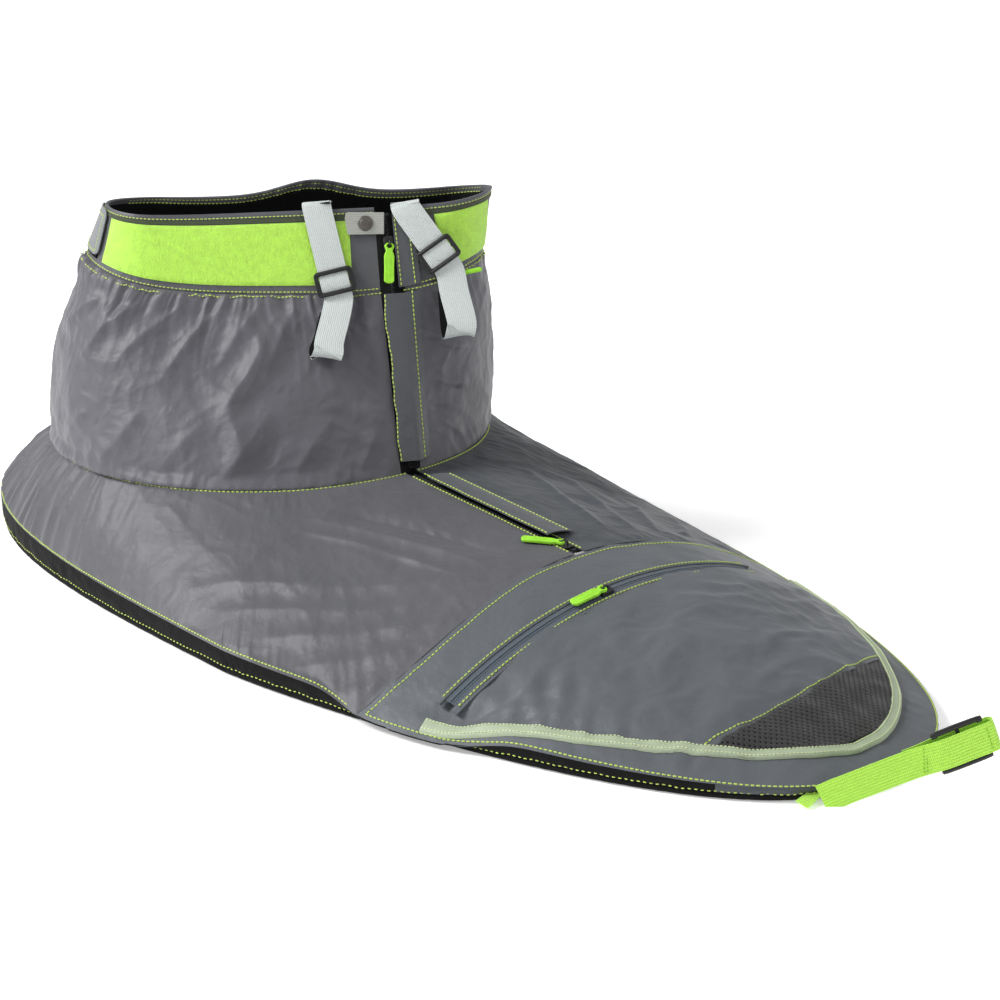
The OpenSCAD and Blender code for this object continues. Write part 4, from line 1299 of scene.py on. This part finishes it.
def patch(name, node_name, u0, u1, cols):
    """A piece of loop tape on the waistband, with softly worn edges."""
    u, h = np.meshgrid(even(u0, u1, cols), even(PATCH_LOW, PATCH_HIGH, 26), indexing="ij")
    fuzz = 0.18 * noise(u * WAIST_LEN / 1.6, h * 50, 151)
    edge = np.minimum.reduce([smooth((h - PATCH_LOW) / 0.03), smooth((PATCH_HIGH - h) / 0.03),
                              smooth((u - u0) * WAIST_LEN / 2.0), smooth((u1 - u) * WAIST_LEN / 2.0)])
    top = BAND.at(u, h, mix(PATCH_UP + 0.5, PATCH_TOP, edge) + fuzz)
    obj = closed_shell(name, top, BAND.at(u, h, PATCH_UP - 0.2), same("loop"))
    attach(obj, "skirt", "loop_tape", node_name)


def make_patches():
    patch("loop_tape_starboard", "loop_patch_starboard", 0.807, 1.075, 420)
    patch("loop_tape_port", "loop_patch_port", 0.168, 0.245, 130)


HOOK_TAB = (0.752, 0.800)
HOOK_CORNER = 0.18


def round_corner(depth):
    """How far the outline of a round corner lies in, at a depth from its end."""
    past = np.clip(HOOK_CORNER - depth, 0, None)
    return HOOK_CORNER - np.sqrt(np.clip(HOOK_CORNER ** 2 - past ** 2, 0, None))


def make_hook_tab():
    u0, u1 = HOOK_TAB
    plain_band = Surface(band_base, outward)
    u, h = np.meshgrid(even(0, 1, 30), even(0, 1, 34), indexing="ij")
    inset = np.maximum(round_corner(h), round_corner(1 - h))
    uu = u0 + (u1 - u0) * mix(inset, 1 - inset, u)
    hh = mix(0.14, 0.96, h)
    obj = closed_shell("waist_hook_tab_webbing", plain_band.at(uu, hh, 3.5),
                       plain_band.at(uu, hh, 2.3), same("tab"))
    attach(obj, "waist_tab", "tab_fabric", "waist_hook_tab")
    obj = panel("hook_patch_strip", plain_band, even(u0 + 0.004, u1 - 0.004, 24),
                even(0.10, 0.84, 20), 0.5, 2.1, same("rand"))
    attach(obj, "waist_tab", "rand_fabric", "hook_patch")
    box = [(even(0.12, 0.88, 30), 0.2), (even(0.12, 0.88, 30), 0.84),
           (0.12, even(0.2, 0.84, 30)), (0.88, even(0.2, 0.84, 30))]
    runs = [sewn(plain_band, u0 + (u1 - u0) * across, up, 3.5) for across, up in box]
    stitches("hook_tab_stitches", "waist_tab", runs, length=2.4, gap=1.2, width=0.9)


# ---------- local frames ----------
ZIP_FOOT = base_pt(np.array(ZIP_U))
ZIP_HEAD = top_pt(np.array(ZIP_U))
ZIP_DIR = unit(ZIP_HEAD - ZIP_FOOT)
ZIP_LEN = float(np.linalg.norm(ZIP_HEAD - ZIP_FOOT))
ON_ZIP = Place(ZIP_FOOT).turn(math.degrees(math.asin(ZIP_DIR[2])), 0,
                              math.degrees(math.atan2(-ZIP_DIR[0], ZIP_DIR[1])))
BAND_LOW = place(WAIST_L, WAIST_S + WAIST_DEEP, WAIST_H)
BAND_HIGH = place(WAIST_L, TOP_S + WAIST_B, TOP_H)
BAND_LEN = float(np.linalg.norm(BAND_HIGH - BAND_LOW))
BAND_TILT = math.degrees(math.asin((BAND_HIGH - BAND_LOW)[2] / BAND_LEN))
ON_BAND = Place(BAND_LOW).turn(BAND_TILT, 0, 90 + WAIST_TURN)
DECK_ZIP_FOOT = np.array([PEAK_X + 6, 0, PEAK_H])
DECK_ZIP_END = np.array([PANEL_X - 6, 0, float(ridge_z(np.float64(PANEL_X))) + 0.5])
DECK_ZIP_LEN = float(np.linalg.norm(DECK_ZIP_END - DECK_ZIP_FOOT))
DECK_ZIP_DIP = math.degrees(math.asin((DECK_ZIP_FOOT - DECK_ZIP_END)[2] / DECK_ZIP_LEN))
ON_DECK_ZIP = Place(DECK_ZIP_FOOT).turn(0, DECK_ZIP_DIP, 0)
_rise = float(ridge_z(np.float64(POCKET_X)) - rim_z(POCKET_X))
POCKET_R = (float(half_w(np.float64(POCKET_X))) ** 2 + _rise ** 2) / (2 * _rise)
ON_ARC = Place((POCKET_X, 0, float(ridge_z(np.float64(POCKET_X))) - POCKET_R)).turn(0, -90, 0)
POCKET_DIP = 10.0
POCKET_SLIDER_AT = 4.5
POCKET_ZIP = (-28.5, 19.5)
SLIDER_OVER = -1.0
PIN_UP = 3.6
TUNNEL_SLIDER_Y = ZIP_LEN - 35.5
DECK_SLIDER_X = DECK_ZIP_LEN - 14
TUNNEL_PULL_TURN = -96
DECK_PULL_TURN = 222
FLAP_SEWN, FLAP_FREE, FLAP_FLAT, FLAP_RISE, FLAP_LIFT = 26.0, 5.0, 8.0, 5.8, 1.0


# ---------- zips ----------
TOOTH_PITCH = 1.9
POCKET_SLIDER_UP = 3.4


def zip_strip(name, place_, length, along_y):
    """Two tapes and a coil of teeth along a straight zip, in place of its two CAD nodes."""
    parts = []
    for side in (-1, 1):
        v = np.linspace(1.5, 10.6, 7) * side
        t = np.linspace(0, length, max(int(length / 4), 8))
        tt, vv = np.meshgrid(t, v, indexing="ij")
        z = -2.9 + 0.5 * np.exp(-((np.abs(vv) - 2.2) / 1.1) ** 2)
        local = stack(vv, tt, z) if along_y else stack(tt, vv, z)
        low = local - np.array([0, 0, 0.7])
        # Both tapes take the black cloth: painted shade under the flaps, not the tapes' own colour.
        parts.append(closed_shell("t", place_.points(local), place_.points(low),
                                  same("lining")))
    tapes = join(name + "_tapes", parts)
    attach(tapes, "skirt", "zip_tape", name + "_tape")
    teeth = int(length / TOOTH_PITCH)
    t = (np.arange(teeth) + 0.5) * TOOTH_PITCH
    shape = STITCH * np.array([1.15, 3.4, 2.4])
    wobble = 0.35 * np.where(np.arange(teeth) % 2 == 0, 1, -1)
    local = stack(shape[None, :, 1] + wobble[:, None], t[:, None] + shape[None, :, 0],
                  shape[None, :, 2] - 3.2)
    if not along_y:
        local = local[..., [1, 0, 2]]
    coil = mesh_object(name + "_coil", place_.points(local.reshape(-1, 3)), stitch_faces(teeth),
                       [M["coil"]])
    attach(coil, "skirt", "zip_coil", name + "_coil")


def make_zip_foot_shade():
    """A black sheet of painted shade behind the place where the two zips meet, where the opening
    between the flaps is dark.
    """
    turn, r = np.meshgrid(np.radians(even(-7, 7, 30)), even(SEAM_R - 14, SEAM_R + 24, 16),
                          indexing="ij")
    x, y = r * np.cos(turn) - TUNNEL_BACK, r * np.sin(turn)
    sag = 0.5 * noise(x / 9, y / 9, 165)
    z = base_z(x) - 5.2 + sag - 0.03 * np.maximum(r - SEAM_R, 0)
    obj = closed_shell("zip_foot_painted_shade", stack(x, y, z), stack(x, y, z - 0.8), same("lining"))
    attach(obj, "skirt", "rand_fabric")
    h, d = np.meshgrid(even(0, 0.10, 12), even(-15, 15, 14), indexing="ij")
    smooth_tunnel = Surface(tunnel_base, outward)
    u = beside_zip(d, h)
    obj = closed_shell("zip_foot_painted_shade_riser", smooth_tunnel.at(u, h, -5.0),
                       smooth_tunnel.at(u, h, -5.8), same("lining"))
    attach(obj, "skirt", "rand_fabric")


def make_slider(name, place_, over, turn):
    """A cast slider: a plate with rounded ends, side rails and a bridge for the pull."""
    body = [(-7.5, 3.2), (-6, 4.6), (0, 5.0), (6.2, 4.6), (7.5, 2.6), (7.5, -2.6), (6.2, -4.6),
            (0, -5.0), (-6, -4.6), (-7.5, -3.2)]
    parts = [plate("p", place_.move(0, 0, over + 0.9), [body], 1.7, 0.5, [M["metal"]])]
    for side in (-1, 1):
        parts.append(plate("r", place_.move(0, side * 4.3, over - 0.5),
                           [rounded(14, 1.4, 0.6, 3)], 1.5, 0.3, [M["metal"]]))
    local = place_.turn(0, 0, turn)
    arch = [(-3.4, 0, over + 1.5), (-3.0, 0, over + 4.2), (-1.2, 0, over + 5.6),
            (1.2, 0, over + 5.6), (3.0, 0, over + 4.2), (3.4, 0, over + 1.5)]
    parts.append(tube("b", local.points(spline(arch, 5)), 0.85, [M["metal"]], 8))
    attach(join(name + "_body", parts), name, "zip_metal", name)


def make_pull(name, place_):
    """A moulded rubber grip with a looped head and raised ribs. It lies along x from its pin."""
    head = [(4 * math.cos(math.radians(a)) * 0.9 + 3.2, 4.8 * math.sin(math.radians(a)))
            for a in range(90, 271, 15)]
    neck = [(7.5, -3.1), (10, -4.3), (13, -5.0)]
    tail = [(36 + 3.2 * math.cos(math.radians(a)), 5.0 * math.sin(math.radians(a)))
            for a in range(-80, 81, 16)]
    ring = head + neck + [(24, -4.7)] + tail + [(24, 4.7)] + [(x, -y) for x, y in neck[::-1]]
    eye = [(2.8 + 2.0 * math.cos(math.radians(a)), 2.5 * math.sin(math.radians(a)))
           for a in range(0, 360, 24)]
    grip = plate("g", place_, [ring, eye], 2.9, 0.8, [M["rubber"]])
    raised = plate("i", place_.move(23.5, 0.2, 1.25), [rounded(19, 2.5, 1.1, 4)], 0.7, 0.2,
                  [M["rubber"]])
    ridges = [plate("n", place_.move(17 + 3.2 * k, 0.2, 1.55), [rounded(0.7, 2.0, 0.3, 3)], 0.5, 0.1,
                    [M["rubber"]]) for k in range(5)]
    attach(join(name + "_grip", [grip, raised, *ridges]), name, "lime_rubber", name)


def make_zips():
    zip_strip("tunnel_zip", ON_ZIP.move(0, 3, 0), ZIP_LEN - 8, True)
    zip_strip("deck_zip", ON_DECK_ZIP, DECK_ZIP_LEN, False)
    pin = SLIDER_OVER + PIN_UP
    make_slider("tunnel_slider", ON_ZIP.move(0, TUNNEL_SLIDER_Y, 0).turn(0, 0, -90), SLIDER_OVER,
                TUNNEL_PULL_TURN + 90)
    make_pull("tunnel_pull", ON_ZIP.move(0, TUNNEL_SLIDER_Y, pin).turn(0, 0, TUNNEL_PULL_TURN))
    make_slider("deck_slider", ON_DECK_ZIP.move(DECK_SLIDER_X, 0, 0), SLIDER_OVER, DECK_PULL_TURN)
    make_pull("deck_pull", ON_DECK_ZIP.move(DECK_SLIDER_X, 0, pin).turn(0, 0, DECK_PULL_TURN))
    at = (ON_ARC.turn(0, 0, -POCKET_SLIDER_AT).move(POCKET_R, 0, 0).turn(0, 90, 0)
          .turn(0, 0, -90).turn(-POCKET_DIP, 0, 0))
    make_slider("pocket_slider", at, POCKET_SLIDER_UP, 0)
    make_pull("pocket_pull", at.move(0, 0, POCKET_SLIDER_UP + PIN_UP).turn(0, 2, 0))
    make_pocket_zip()


def arc_points(angle, across, up):
    """Points beside the pocket zip: degrees to port, millimetres to the bow and above the deck."""
    w = np.radians(angle)
    tilt = math.radians(POCKET_DIP)
    r = POCKET_R + up * math.cos(tilt) - across * math.sin(tilt)
    x = POCKET_X + across * math.cos(tilt) + up * math.sin(tilt)
    centre_z = float(ridge_z(np.float64(POCKET_X))) - POCKET_R
    return stack(x, r * np.sin(w), centre_z + r * np.cos(w))


def make_pocket_zip():
    """A reversed coil zip: two ribbed tapes that meet in a dark slit, between folded cloth edges."""
    first, last = POCKET_ZIP
    angle = even(first, last, 300)
    parts = []
    for side in (-1, 1):
        v = np.linspace(0.35, 9.5, 16)
        aa, vv = np.meshgrid(angle, v * side, indexing="ij")
        far = np.abs(vv)
        up = 1.9 + 1.0 * np.exp(-((far - 1.4) / 1.0) ** 2) + 0.35 * np.exp(-((far - 4.4) / 0.5) ** 2)
        up = up + 0.10 * np.sin(aa * POCKET_R / 57.3 * 2 * math.pi / 2.6) * (far < 3)
        parts.append(closed_shell("t", arc_points(aa, vv, up), arc_points(aa, vv, up * 0 + 0.7),
                                  same("zip_tape")))
    tapes = join("pocket_zip_tapes", parts)
    attach(tapes, "skirt", "zip_tape", "pocket_zip_tape")
    aa, vv = np.meshgrid(angle, np.linspace(-1.3, 1.3, 5), indexing="ij")
    coil = closed_shell("pocket_zip_coil_run", arc_points(aa, vv, 1.2 + 0 * aa),
                        arc_points(aa, vv, 0.75 + 0 * aa), same("coil"))
    attach(coil, "skirt", "zip_coil", "pocket_zip_coil")
    edge = []
    for side, name in ((-1, "pocket_zip_edge_aft"), (1, "pocket_zip_edge_fore")):
        v = np.array([6.6, 6.3, 6.5, 7.2, 9.5, 11.5, 13.0])
        up = np.array([1.9, 2.4, 2.9, 3.1, 3.0, 2.4, 1.4 if side < 0 else 2.6])
        aa, vv = np.meshgrid(even(first - 0.8, last + 1.2, 260), v * side, indexing="ij")
        lift = up[None] + 0.25 * noise(aa * 2.6, vv / 5, 161 + side)
        obj = closed_shell(name, arc_points(aa, vv, lift), arc_points(aa, vv, lift * 0 + 0.6),
                           same("front"))
        attach(obj, "skirt", "tunnel_fabric")
        line = even(first, last, 420)
        beside = side * (9.2 + 0 * line)
        low, high = arc_points(line, beside, 3.3 + 0 * line), arc_points(line, beside, 4.3 + 0 * line)
        edge.append((low, unit(high - low)))
    stitches("pocket_zip_stitches", "skirt", edge)


# ---------- flaps ----------
FLAP_T = 1.2
FLAP_STEPS = 25
FREE_SEAM = 3


def flap(name, cross, facing, sewn_seam):
    """A flap of cloth through rows of points, with a row of stitches near each of its long sides."""
    pick = np.round(np.linspace(0, 1, FLAP_STEPS + 1) * FLAP_STEPS).astype(int)
    fine = np.stack([spline(cross[:, i], 5)[pick] for i in range(cross.shape[1])], 1)
    normal = unit(np.cross(np.gradient(fine, axis=0), np.gradient(fine, axis=1)))
    if (normal * facing).sum() < 0:
        normal = -normal
    half = FLAP_T / 2
    obj = closed_shell(name + "_cloth", fine + half * normal, fine - half * normal, lined("flap"))
    attach(obj, name, "tunnel_fabric", name)
    runs = [(fine[k] + half * normal[k], normal[k]) for k in (FREE_SEAM, sewn_seam)]
    stitches(name + "_stitches", name, runs)


def make_tunnel_flap():
    """Its free edge waves beside the zip, and its sewn edge follows the tunnel's folds."""
    waist_seam_y = float(np.linalg.norm(waist_pt(np.array(ZIP_U)) - ZIP_FOOT))
    h = even(0.055, 0.97, 90)
    out = ON_ZIP.axes[:, 2]
    edge = TUNNEL.at(beside_zip(FLAP_SEWN, h), h, 0.0) + FLAP_LIFT * out
    free_wave = 1.8 * noise(h * 5, 0 * h, 171) + 0.8 * noise(h * 14, 0 * h, 173) - 4.2
    knots = [(-FLAP_FREE - 1 + free_wave, FLAP_RISE - 1.2), (-FLAP_FREE + 1 + free_wave, FLAP_RISE),
             (1.5 + 0 * h, FLAP_RISE + 0.7), (FLAP_FLAT + 0 * h, FLAP_RISE)]
    rows = []
    for x, z in knots:
        lift = z + 0.5 + 0.4 * noise(h * 12, 0 * h + x[0], 172)
        rows.append(ON_ZIP.points(stack(x, h * waist_seam_y, lift)))
    nearer = mix(rows[-1], edge, 0.5) + out * 0.8
    flap("tunnel_flap", np.stack([*rows, nearer, edge], 0), out, 20)


def make_deck_flap():
    x = even(26.0, DECK_SLIDER_X - 16, 100)
    ripple = 0.6 * noise(x / 26, 0 * x, 181)
    rows = [stack(x, -FLAP_FREE - 1.5 + ripple, 0 * x + FLAP_RISE + 0.2),
            stack(x, -FLAP_FREE + 1 + ripple, FLAP_RISE + 0.6 + ripple * 0.3),
            stack(x, 0 * x + 2, FLAP_RISE + 0.6 + ripple),
            stack(x, 0 * x + FLAP_FLAT, 0 * x + FLAP_RISE),
            stack(x, 0 * x + 17, 0 * x + 4.2),
            stack(x, 0 * x + FLAP_SEWN, 0 * x + FLAP_LIFT + 0.2)]
    flap("deck_flap", ON_DECK_ZIP.points(np.stack(rows, 0)), UP, 22)


def make_placket():
    plain_band = Surface(band_base, outward)
    obj = panel("band_placket_cloth", plain_band, even(beside_zip(6), beside_zip(27), 24),
                even(0.01, 0.93, 50), 0.3, 1.7, same("flap"))
    attach(obj, "skirt", "tunnel_fabric", "band_placket")
    h = even(0.02, 0.92, 80)
    runs = [sewn(plain_band, beside_zip(d), h, 1.7) for d in (8.5, 22)]
    stitches("placket_stitches", "skirt", runs)


# ---------- snap ----------
SNAP_MID = (83.0, 68.0)


def disc(name, place_, profile, mats, sides=48):
    """A turned piece: profile is a list of (radius, height)."""
    profile = np.array(profile, float)
    w = np.linspace(0, 2 * math.pi, sides, endpoint=False)
    r, z = profile[:, 0], profile[:, 1]
    ring = stack(r[None] * np.cos(w)[:, None], r[None] * np.sin(w)[:, None],
                 np.broadcast_to(z, (sides, len(z))))
    index = np.arange(sides * len(z)).reshape(sides, len(z))
    index = np.vstack([index, index[:1]])
    return mesh_object(name, place_.points(ring.reshape(-1, 3)), quads(index), mats, soft=35)


def make_snap():
    x, y = SNAP_MID
    at = ON_BAND.move(x, y, 0)
    ring = [(18.0, 10.6), (-17, 10.8), (-19.2, 8.6), (-20, 5.0), (-17.5, -9.8), (-16.2, -11),
            (18.0, -10.4)]
    tab = plate("snap_tab_webbing", at.move(0, 0, 3.1), [ring], 1.5, 0.4, [M["snap_web"]])
    cut = np.zeros(len(tab.data.vertices) * 3)
    tab.data.vertices.foreach_get("co", cut)
    local = (cut.reshape(-1, 3) / MM - at.at) @ at.axes
    local[:, 2] = 0
    tab.data.attributes.new("cut", "FLOAT_VECTOR", "POINT").data.foreach_set("vector", local.ravel())
    attach(tab, "snap_tab", "elastic_webbing", "snap_tab")
    cap = disc("snap_cap_dome", at, [(0.01, 6.1), (2.5, 6.05), (4.6, 5.8), (5.2, 5.35), (5.6, 5.5),
                                     (6.6, 5.35), (7.3, 4.7), (7.4, 4.1), (7.0, 3.85), (0.01, 3.85)],
               [M["snap"]])
    attach(cap, "snap_tab", "snap_metal", "snap_cap")


# ---------- suspenders ----------
STRAP_T = 1.4
STRAP_Z = 5.6
LOOP_GAP = 11.5
LOOP_SKEW = 6.0
RUNS = {"starboard": ((36, BAND_LEN), (57.4, -4), (50, -62)),
        "port": ((121, BAND_LEN), (165.5, 22), (176, -40))}
STARBOARD_SWELL = 0.3
SWELL_FROM = 6.0
GLIDE_AT = {"starboard": 11.0, "port": 38.0}


def across_run(a, b):
    d = unit(np.array([a[0] - b[0], a[1] - b[1]], float))
    return np.array([d[1], -d[0], 0.0])


def suspender_stations(key):
    """Over the top edge, down the face, behind the glide's bars, round the loop and back up."""
    top, mid, end = RUNS[key]
    w0, w1, w2 = np.array([1.0, 0, 0]), across_run(top, mid), across_run(mid, end)
    half = LOOP_GAP / 2
    glide = GLIDE_AT[key]

    def on_face(y):
        t = (top[1] - y) / (top[1] - mid[1])
        return mix(top[0], mid[0], t)
    bars = [(on_face(glide + dy), glide + dy, STRAP_Z + dz)
            for dy, dz in ((15, 0.0), (10.2, -0.3), (5, 1.6), (0, 2.2), (-5, 1.6), (-10.2, -0.3))]
    rows = [((top[0], BAND_LEN + 3.8, -1.9), w0), ((top[0], BAND_LEN + 5.0, 0.5), mix(w0, w1, 0.2)),
            ((top[0], BAND_LEN + 3.6, 3.8), mix(w0, w1, 0.5)),
            ((on_face(BAND_LEN - 4), BAND_LEN - 4, STRAP_Z), w1)]
    rows += [(p, w1) for p in bars]
    rows += [((mid[0], mid[1] - 3, STRAP_Z + 0.6), mix(w1, w2, 0.5)),
             ((mix(mid[0], end[0], 0.35), mix(mid[1], end[1], 0.35), STRAP_Z + 3), w2),
             ((end[0], end[1] + 14, STRAP_Z + half + 2.6), w2)]
    side = -LOOP_SKEW
    rows += [((end[0] + side * a / 180, end[1] + 5 - half * math.sin(math.radians(a)),
               STRAP_Z + 3.6 + half * math.cos(math.radians(a))), w2) for a in range(0, 181, 30)]
    rows += [((mix(mid[0], end[0], t) + side * t, mix(mid[1], end[1], t), STRAP_Z - 2.5), w2)
             for t in (0.75, 0.5, 0.3)]
    swell = STARBOARD_SWELL if key == "starboard" else 0.0
    raised = [(np.array(p, float) + np.array([0, 0, swell * max(0, -p[1] - SWELL_FROM)]), w)
              for p, w in rows]
    return [(ON_BAND.points(p), ON_BAND.vectors(w)) for p, w in raised]


def make_glide(key):
    """A moulded tri-glide: a rounded frame in front of the strap and a bar behind it."""
    (tx, ty), (mx, my), _ = RUNS[key]
    y = GLIDE_AT[key]
    lean = math.atan2(mx - tx, ty - my)
    at = ON_BAND.move(tx + (ty - y) * math.tan(lean), y, STRAP_Z).turn(0, 0, math.degrees(lean))
    black = [M["black"]]

    def rod(points, per, radius, sides, flat=1.0):
        return tube("rod", at.points(spline(points, per)), radius, black, sides, flat)
    parts = [plate("f", at.move(0, 0, 1.4), [rounded(38, 25, 4.2, 6), rounded(29.6, 16.6, 2.4, 5)],
                   2.6, 0.8, black)]
    parts += [rod([(-16, s * 10.4, 2.6), (0, s * 10.6, 3.0), (16, s * 10.4, 2.6)], 6, 1.6, 10, 0.75)
              for s in (-1, 1)]
    parts.append(rod([(-17, 0, -2.2), (0, 0, -2.2), (17, 0, -2.2)], 4, 1.2, 8))
    parts += [rod([(s * 17.2, -9, 0.6), (s * 17.4, 0, -1.2), (s * 17.2, 9, 0.6)], 6, 1.5, 8)
              for s in (-1, 1)]
    obj = join("triglide_" + key + "_frame", parts)
    attach(obj, "triglide_" + key, "black_plastic", "triglide_" + key)


def make_suspenders():
    tails = []
    for key in RUNS:
        # Each strap's underside takes the black rand cloth: painted shade inside the loop and behind
        # the strap.
        obj, centres, widths = strap("suspender_" + key + "_elastic", suspender_stations(key), STRAP_W,
                                     STRAP_T, [M["elastic"], M["rand"], M["elastic"]])
        attach(obj, "suspender_" + key, "elastic_webbing", "suspender_" + key)
        make_glide(key)
        end = len(centres) - 3
        line = strap_grid(centres, widths, STRAP_W * 0.85, 0.8, 20)[end]
        normal = np.broadcast_to(ON_BAND.axes[:, 2], line.shape)
        stitches("suspender_" + key + "_stitches", "suspender_" + key, [(line, -normal)], "pale_thread",
                 length=1.8, gap=1.0, width=0.8)
        x = RUNS[key][0][0] + STRAP_W / 2 - 9
        rows = [(ON_BAND.points((x, BAND_LEN - 1 - d, -3.4 - 0.25 * math.sin(d / 4))),
                 ON_BAND.vectors((1, 0, 0))) for d in (0, 6, 12, 18, 24)]
        tails.append(strap("tail", rows, 18, STRAP_T, same("elastic"))[0])
    tail = join("suspender_tail_ends", tails)
    attach(tail, "skirt", "elastic_webbing", "suspender_tails")


TOGGLE_LEN = 20


def make_toggle():
    """A ribbed rubber grip on a black cord end."""
    at = ON_BAND.move(176, 20, 0).turn(0, 0, 12)
    t = np.linspace(0, 1, 40)
    w = np.linspace(0, 2 * math.pi, 16, endpoint=False)
    r = 1.95 + 0.35 * smooth(t / 0.2) * smooth((1 - t) / 0.12) + 0.10 * np.sin(t * 46)
    r = r * np.sqrt(np.clip(1 - (2 * t - 1) ** 16, 0.02, 1))
    ring = stack(TOGGLE_LEN * t[:, None], r[:, None] * np.cos(w)[None],
                 2.4 + r[:, None] * np.sin(w)[None])
    index = np.arange(len(t) * len(w)).reshape(len(t), len(w))
    index = np.hstack([index, index[:, :1]])
    grip = mesh_object("g", at.points(ring.reshape(-1, 3)), quads(index), [M["rubber"]])
    clip = plate("c", at.move(-2.5, 0, 2.2), [rounded(5.4, 7, 1.5, 4)], 3.4, 0.7, [M["black"]])
    obj = join("waist_toggle_grip", [grip, clip])
    attach(obj, "skirt", "lime_rubber", "waist_toggle")


# ---------- grab loop ----------
GRAB_FROM = np.array([538.0, -62.0, 14.0])
GRAB_TO = np.array([607.0, 34.0, 58.0])
GRAB_ALONG = unit(GRAB_TO - GRAB_FROM)
GRAB_OUT = unit(np.array([GRAB_ALONG[1], -GRAB_ALONG[0], 0.0]))
GRAB_WIDE = np.cross(GRAB_OUT, GRAB_ALONG)
GRAB_GAP = 9.0


def on_grab(t, out):
    return mix(GRAB_FROM, GRAB_TO, t) + GRAB_OUT * out


def make_grab_anchor():
    """The sewn root of the loop, under the edge of the bow."""
    tangent = (0.49, 0.87, 0.0)
    rows = [((512, -80, 6.2), tangent), ((517, -79.5, 5.4), tangent), ((522, -78.5, 4.4), tangent)]
    obj = strap("grab_anchor_webbing", [(np.array(p, float), unit(np.array(w))) for p, w in rows],
                GRAB_W, 1.7, same("lime_webbing"))[0]
    attach(obj, "skirt", "lime_webbing")


def grab_stations():
    """From the root up the front run, round the far end and back down behind."""
    half = GRAB_GAP / 2
    rows = [((526, -77, 5.5), (-0.62, -0.74, 0.25)), ((532, -70, 10.0), (-0.45, -0.55, 0.65))]
    front = ((0, 0), (0.35, 0), (0.5, 1.5), (0.64, half), (0.8, half), (0.95, half))
    rows += [(on_grab(t, out), GRAB_WIDE) for t, out in front]
    rows += [(on_grab(0.95, half * math.cos(math.radians(a)))
              + GRAB_ALONG * half * math.sin(math.radians(a)), GRAB_WIDE) for a in range(30, 151, 30)]
    back = ((0.95, half), (0.8, half), (0.64, half), (0.5, 2.5), (0.4, 2.2))
    rows += [(on_grab(t, -out), GRAB_WIDE) for t, out in back]
    return [(np.array(p, float), unit(np.array(w, float))) for p, w in rows]


def make_grab_slide():
    """The slide on the loop: two rails with knobs at their ends and a bar between the webbing."""
    at = Place(on_grab(0.76, 0)).turn(0, 0, math.degrees(math.atan2(GRAB_ALONG[1], GRAB_ALONG[0])))
    at = at.turn(0, -math.degrees(math.asin(GRAB_ALONG[2])), 0)
    black = [M["black"]]
    parts = []
    for side in (-1, 1):
        z = side * (GRAB_W / 2 + 3.7)
        bow = spline([(-20, 0, z - side * 0.8), (-17, 0, z), (0, 0, z + side * 0.3), (17, 0, z),
                      (20, 0, z - side * 0.8)])
        parts.append(tube("r", at.points(bow), 2.1, black, 12, flat=1.1))
        for end in (-1, 1):
            knob = spline([(end * 16.5, 0, z - side * 0.6), (end * 20.6, 0, z - side * 0.6)], 6)
            parts.append(tube("k", at.points(knob), 2.5, black, 12))
    parts.append(tube("m", at.points(spline([(0, 0, -15), (0, 0, 0), (0, 0, 15)], 4)), 1.7, black))
    attach(join("grab_slide_frame", parts), "grab_slide", "black_plastic", "grab_slide")


def make_grab():
    obj = strap("grab_loop_webbing", grab_stations(), GRAB_W, 1.7, same("lime_webbing"))[0]
    attach(obj, "grab_loop", "lime_webbing", "grab_loop")
    v = np.linspace(-0.42, 0.42, 24)[:, None] * GRAB_W
    lines = [on_grab(t, 1.6) + v * GRAB_WIDE + GRAB_OUT * 0.95 + v * 0.25 * GRAB_ALONG
             for t in (0.505, 0.525)]
    lines.append(on_grab(0.93, GRAB_GAP / 2 + 0.9) + v * GRAB_WIDE)
    runs = [(line, np.broadcast_to(GRAB_OUT, line.shape)) for line in lines]
    stitches("grab_loop_stitches", "grab_loop", runs, "rubber_thread", length=2.2, gap=1.2, width=0.9)
    make_grab_slide()


# ---------- seams of the deck ----------
def make_deck_stitches():
    runs = []
    for half in DECK.values():
        runs.append(sewn(half, even(0.003, 0.997, 1500), 0.010, 0.1))
        runs.append(sewn(half, even(CORNER + 0.004, 0.999, 1200), 0.984, 0.1))
        runs.append(sewn(half, 0.0016, even(0.05, 0.98, 300), 0.15))
    stitches("deck_stitches", "skirt", runs)
    r = even(-0.985, 0.985, 600)
    k = even(0.01, 0.985, 700)
    runs = [sewn(FRONT, r, 0.012, 0.1), sewn(FRONT, -0.986, k, 0.1), sewn(FRONT, 0.986, k, 0.1)]
    stitches("front_stitches", "skirt", runs)


def dress_cad_nodes():
    """Materials for the CAD nodes that stay: the shock cord, the zip stops and the snap stud."""
    for name, mat in (("shock_cord", "cord"), ("zip_stops", "black"), ("snap_stud", "snap")):
        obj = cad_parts[name]
        obj.data.materials.clear()
        obj.data.materials.append(M[mat])


for make in (make_camera, make_stage, make_deck, make_front, make_mesh_panel, make_tape, make_rand,
             make_hem, make_band, make_tunnel, make_patches, make_hook_tab, make_zips, make_zip_foot_shade,
             make_tunnel_flap, make_deck_flap, make_placket, make_snap, make_suspenders, make_toggle,
             make_grab_anchor, make_grab, make_deck_stitches, dress_cad_nodes):
    make()
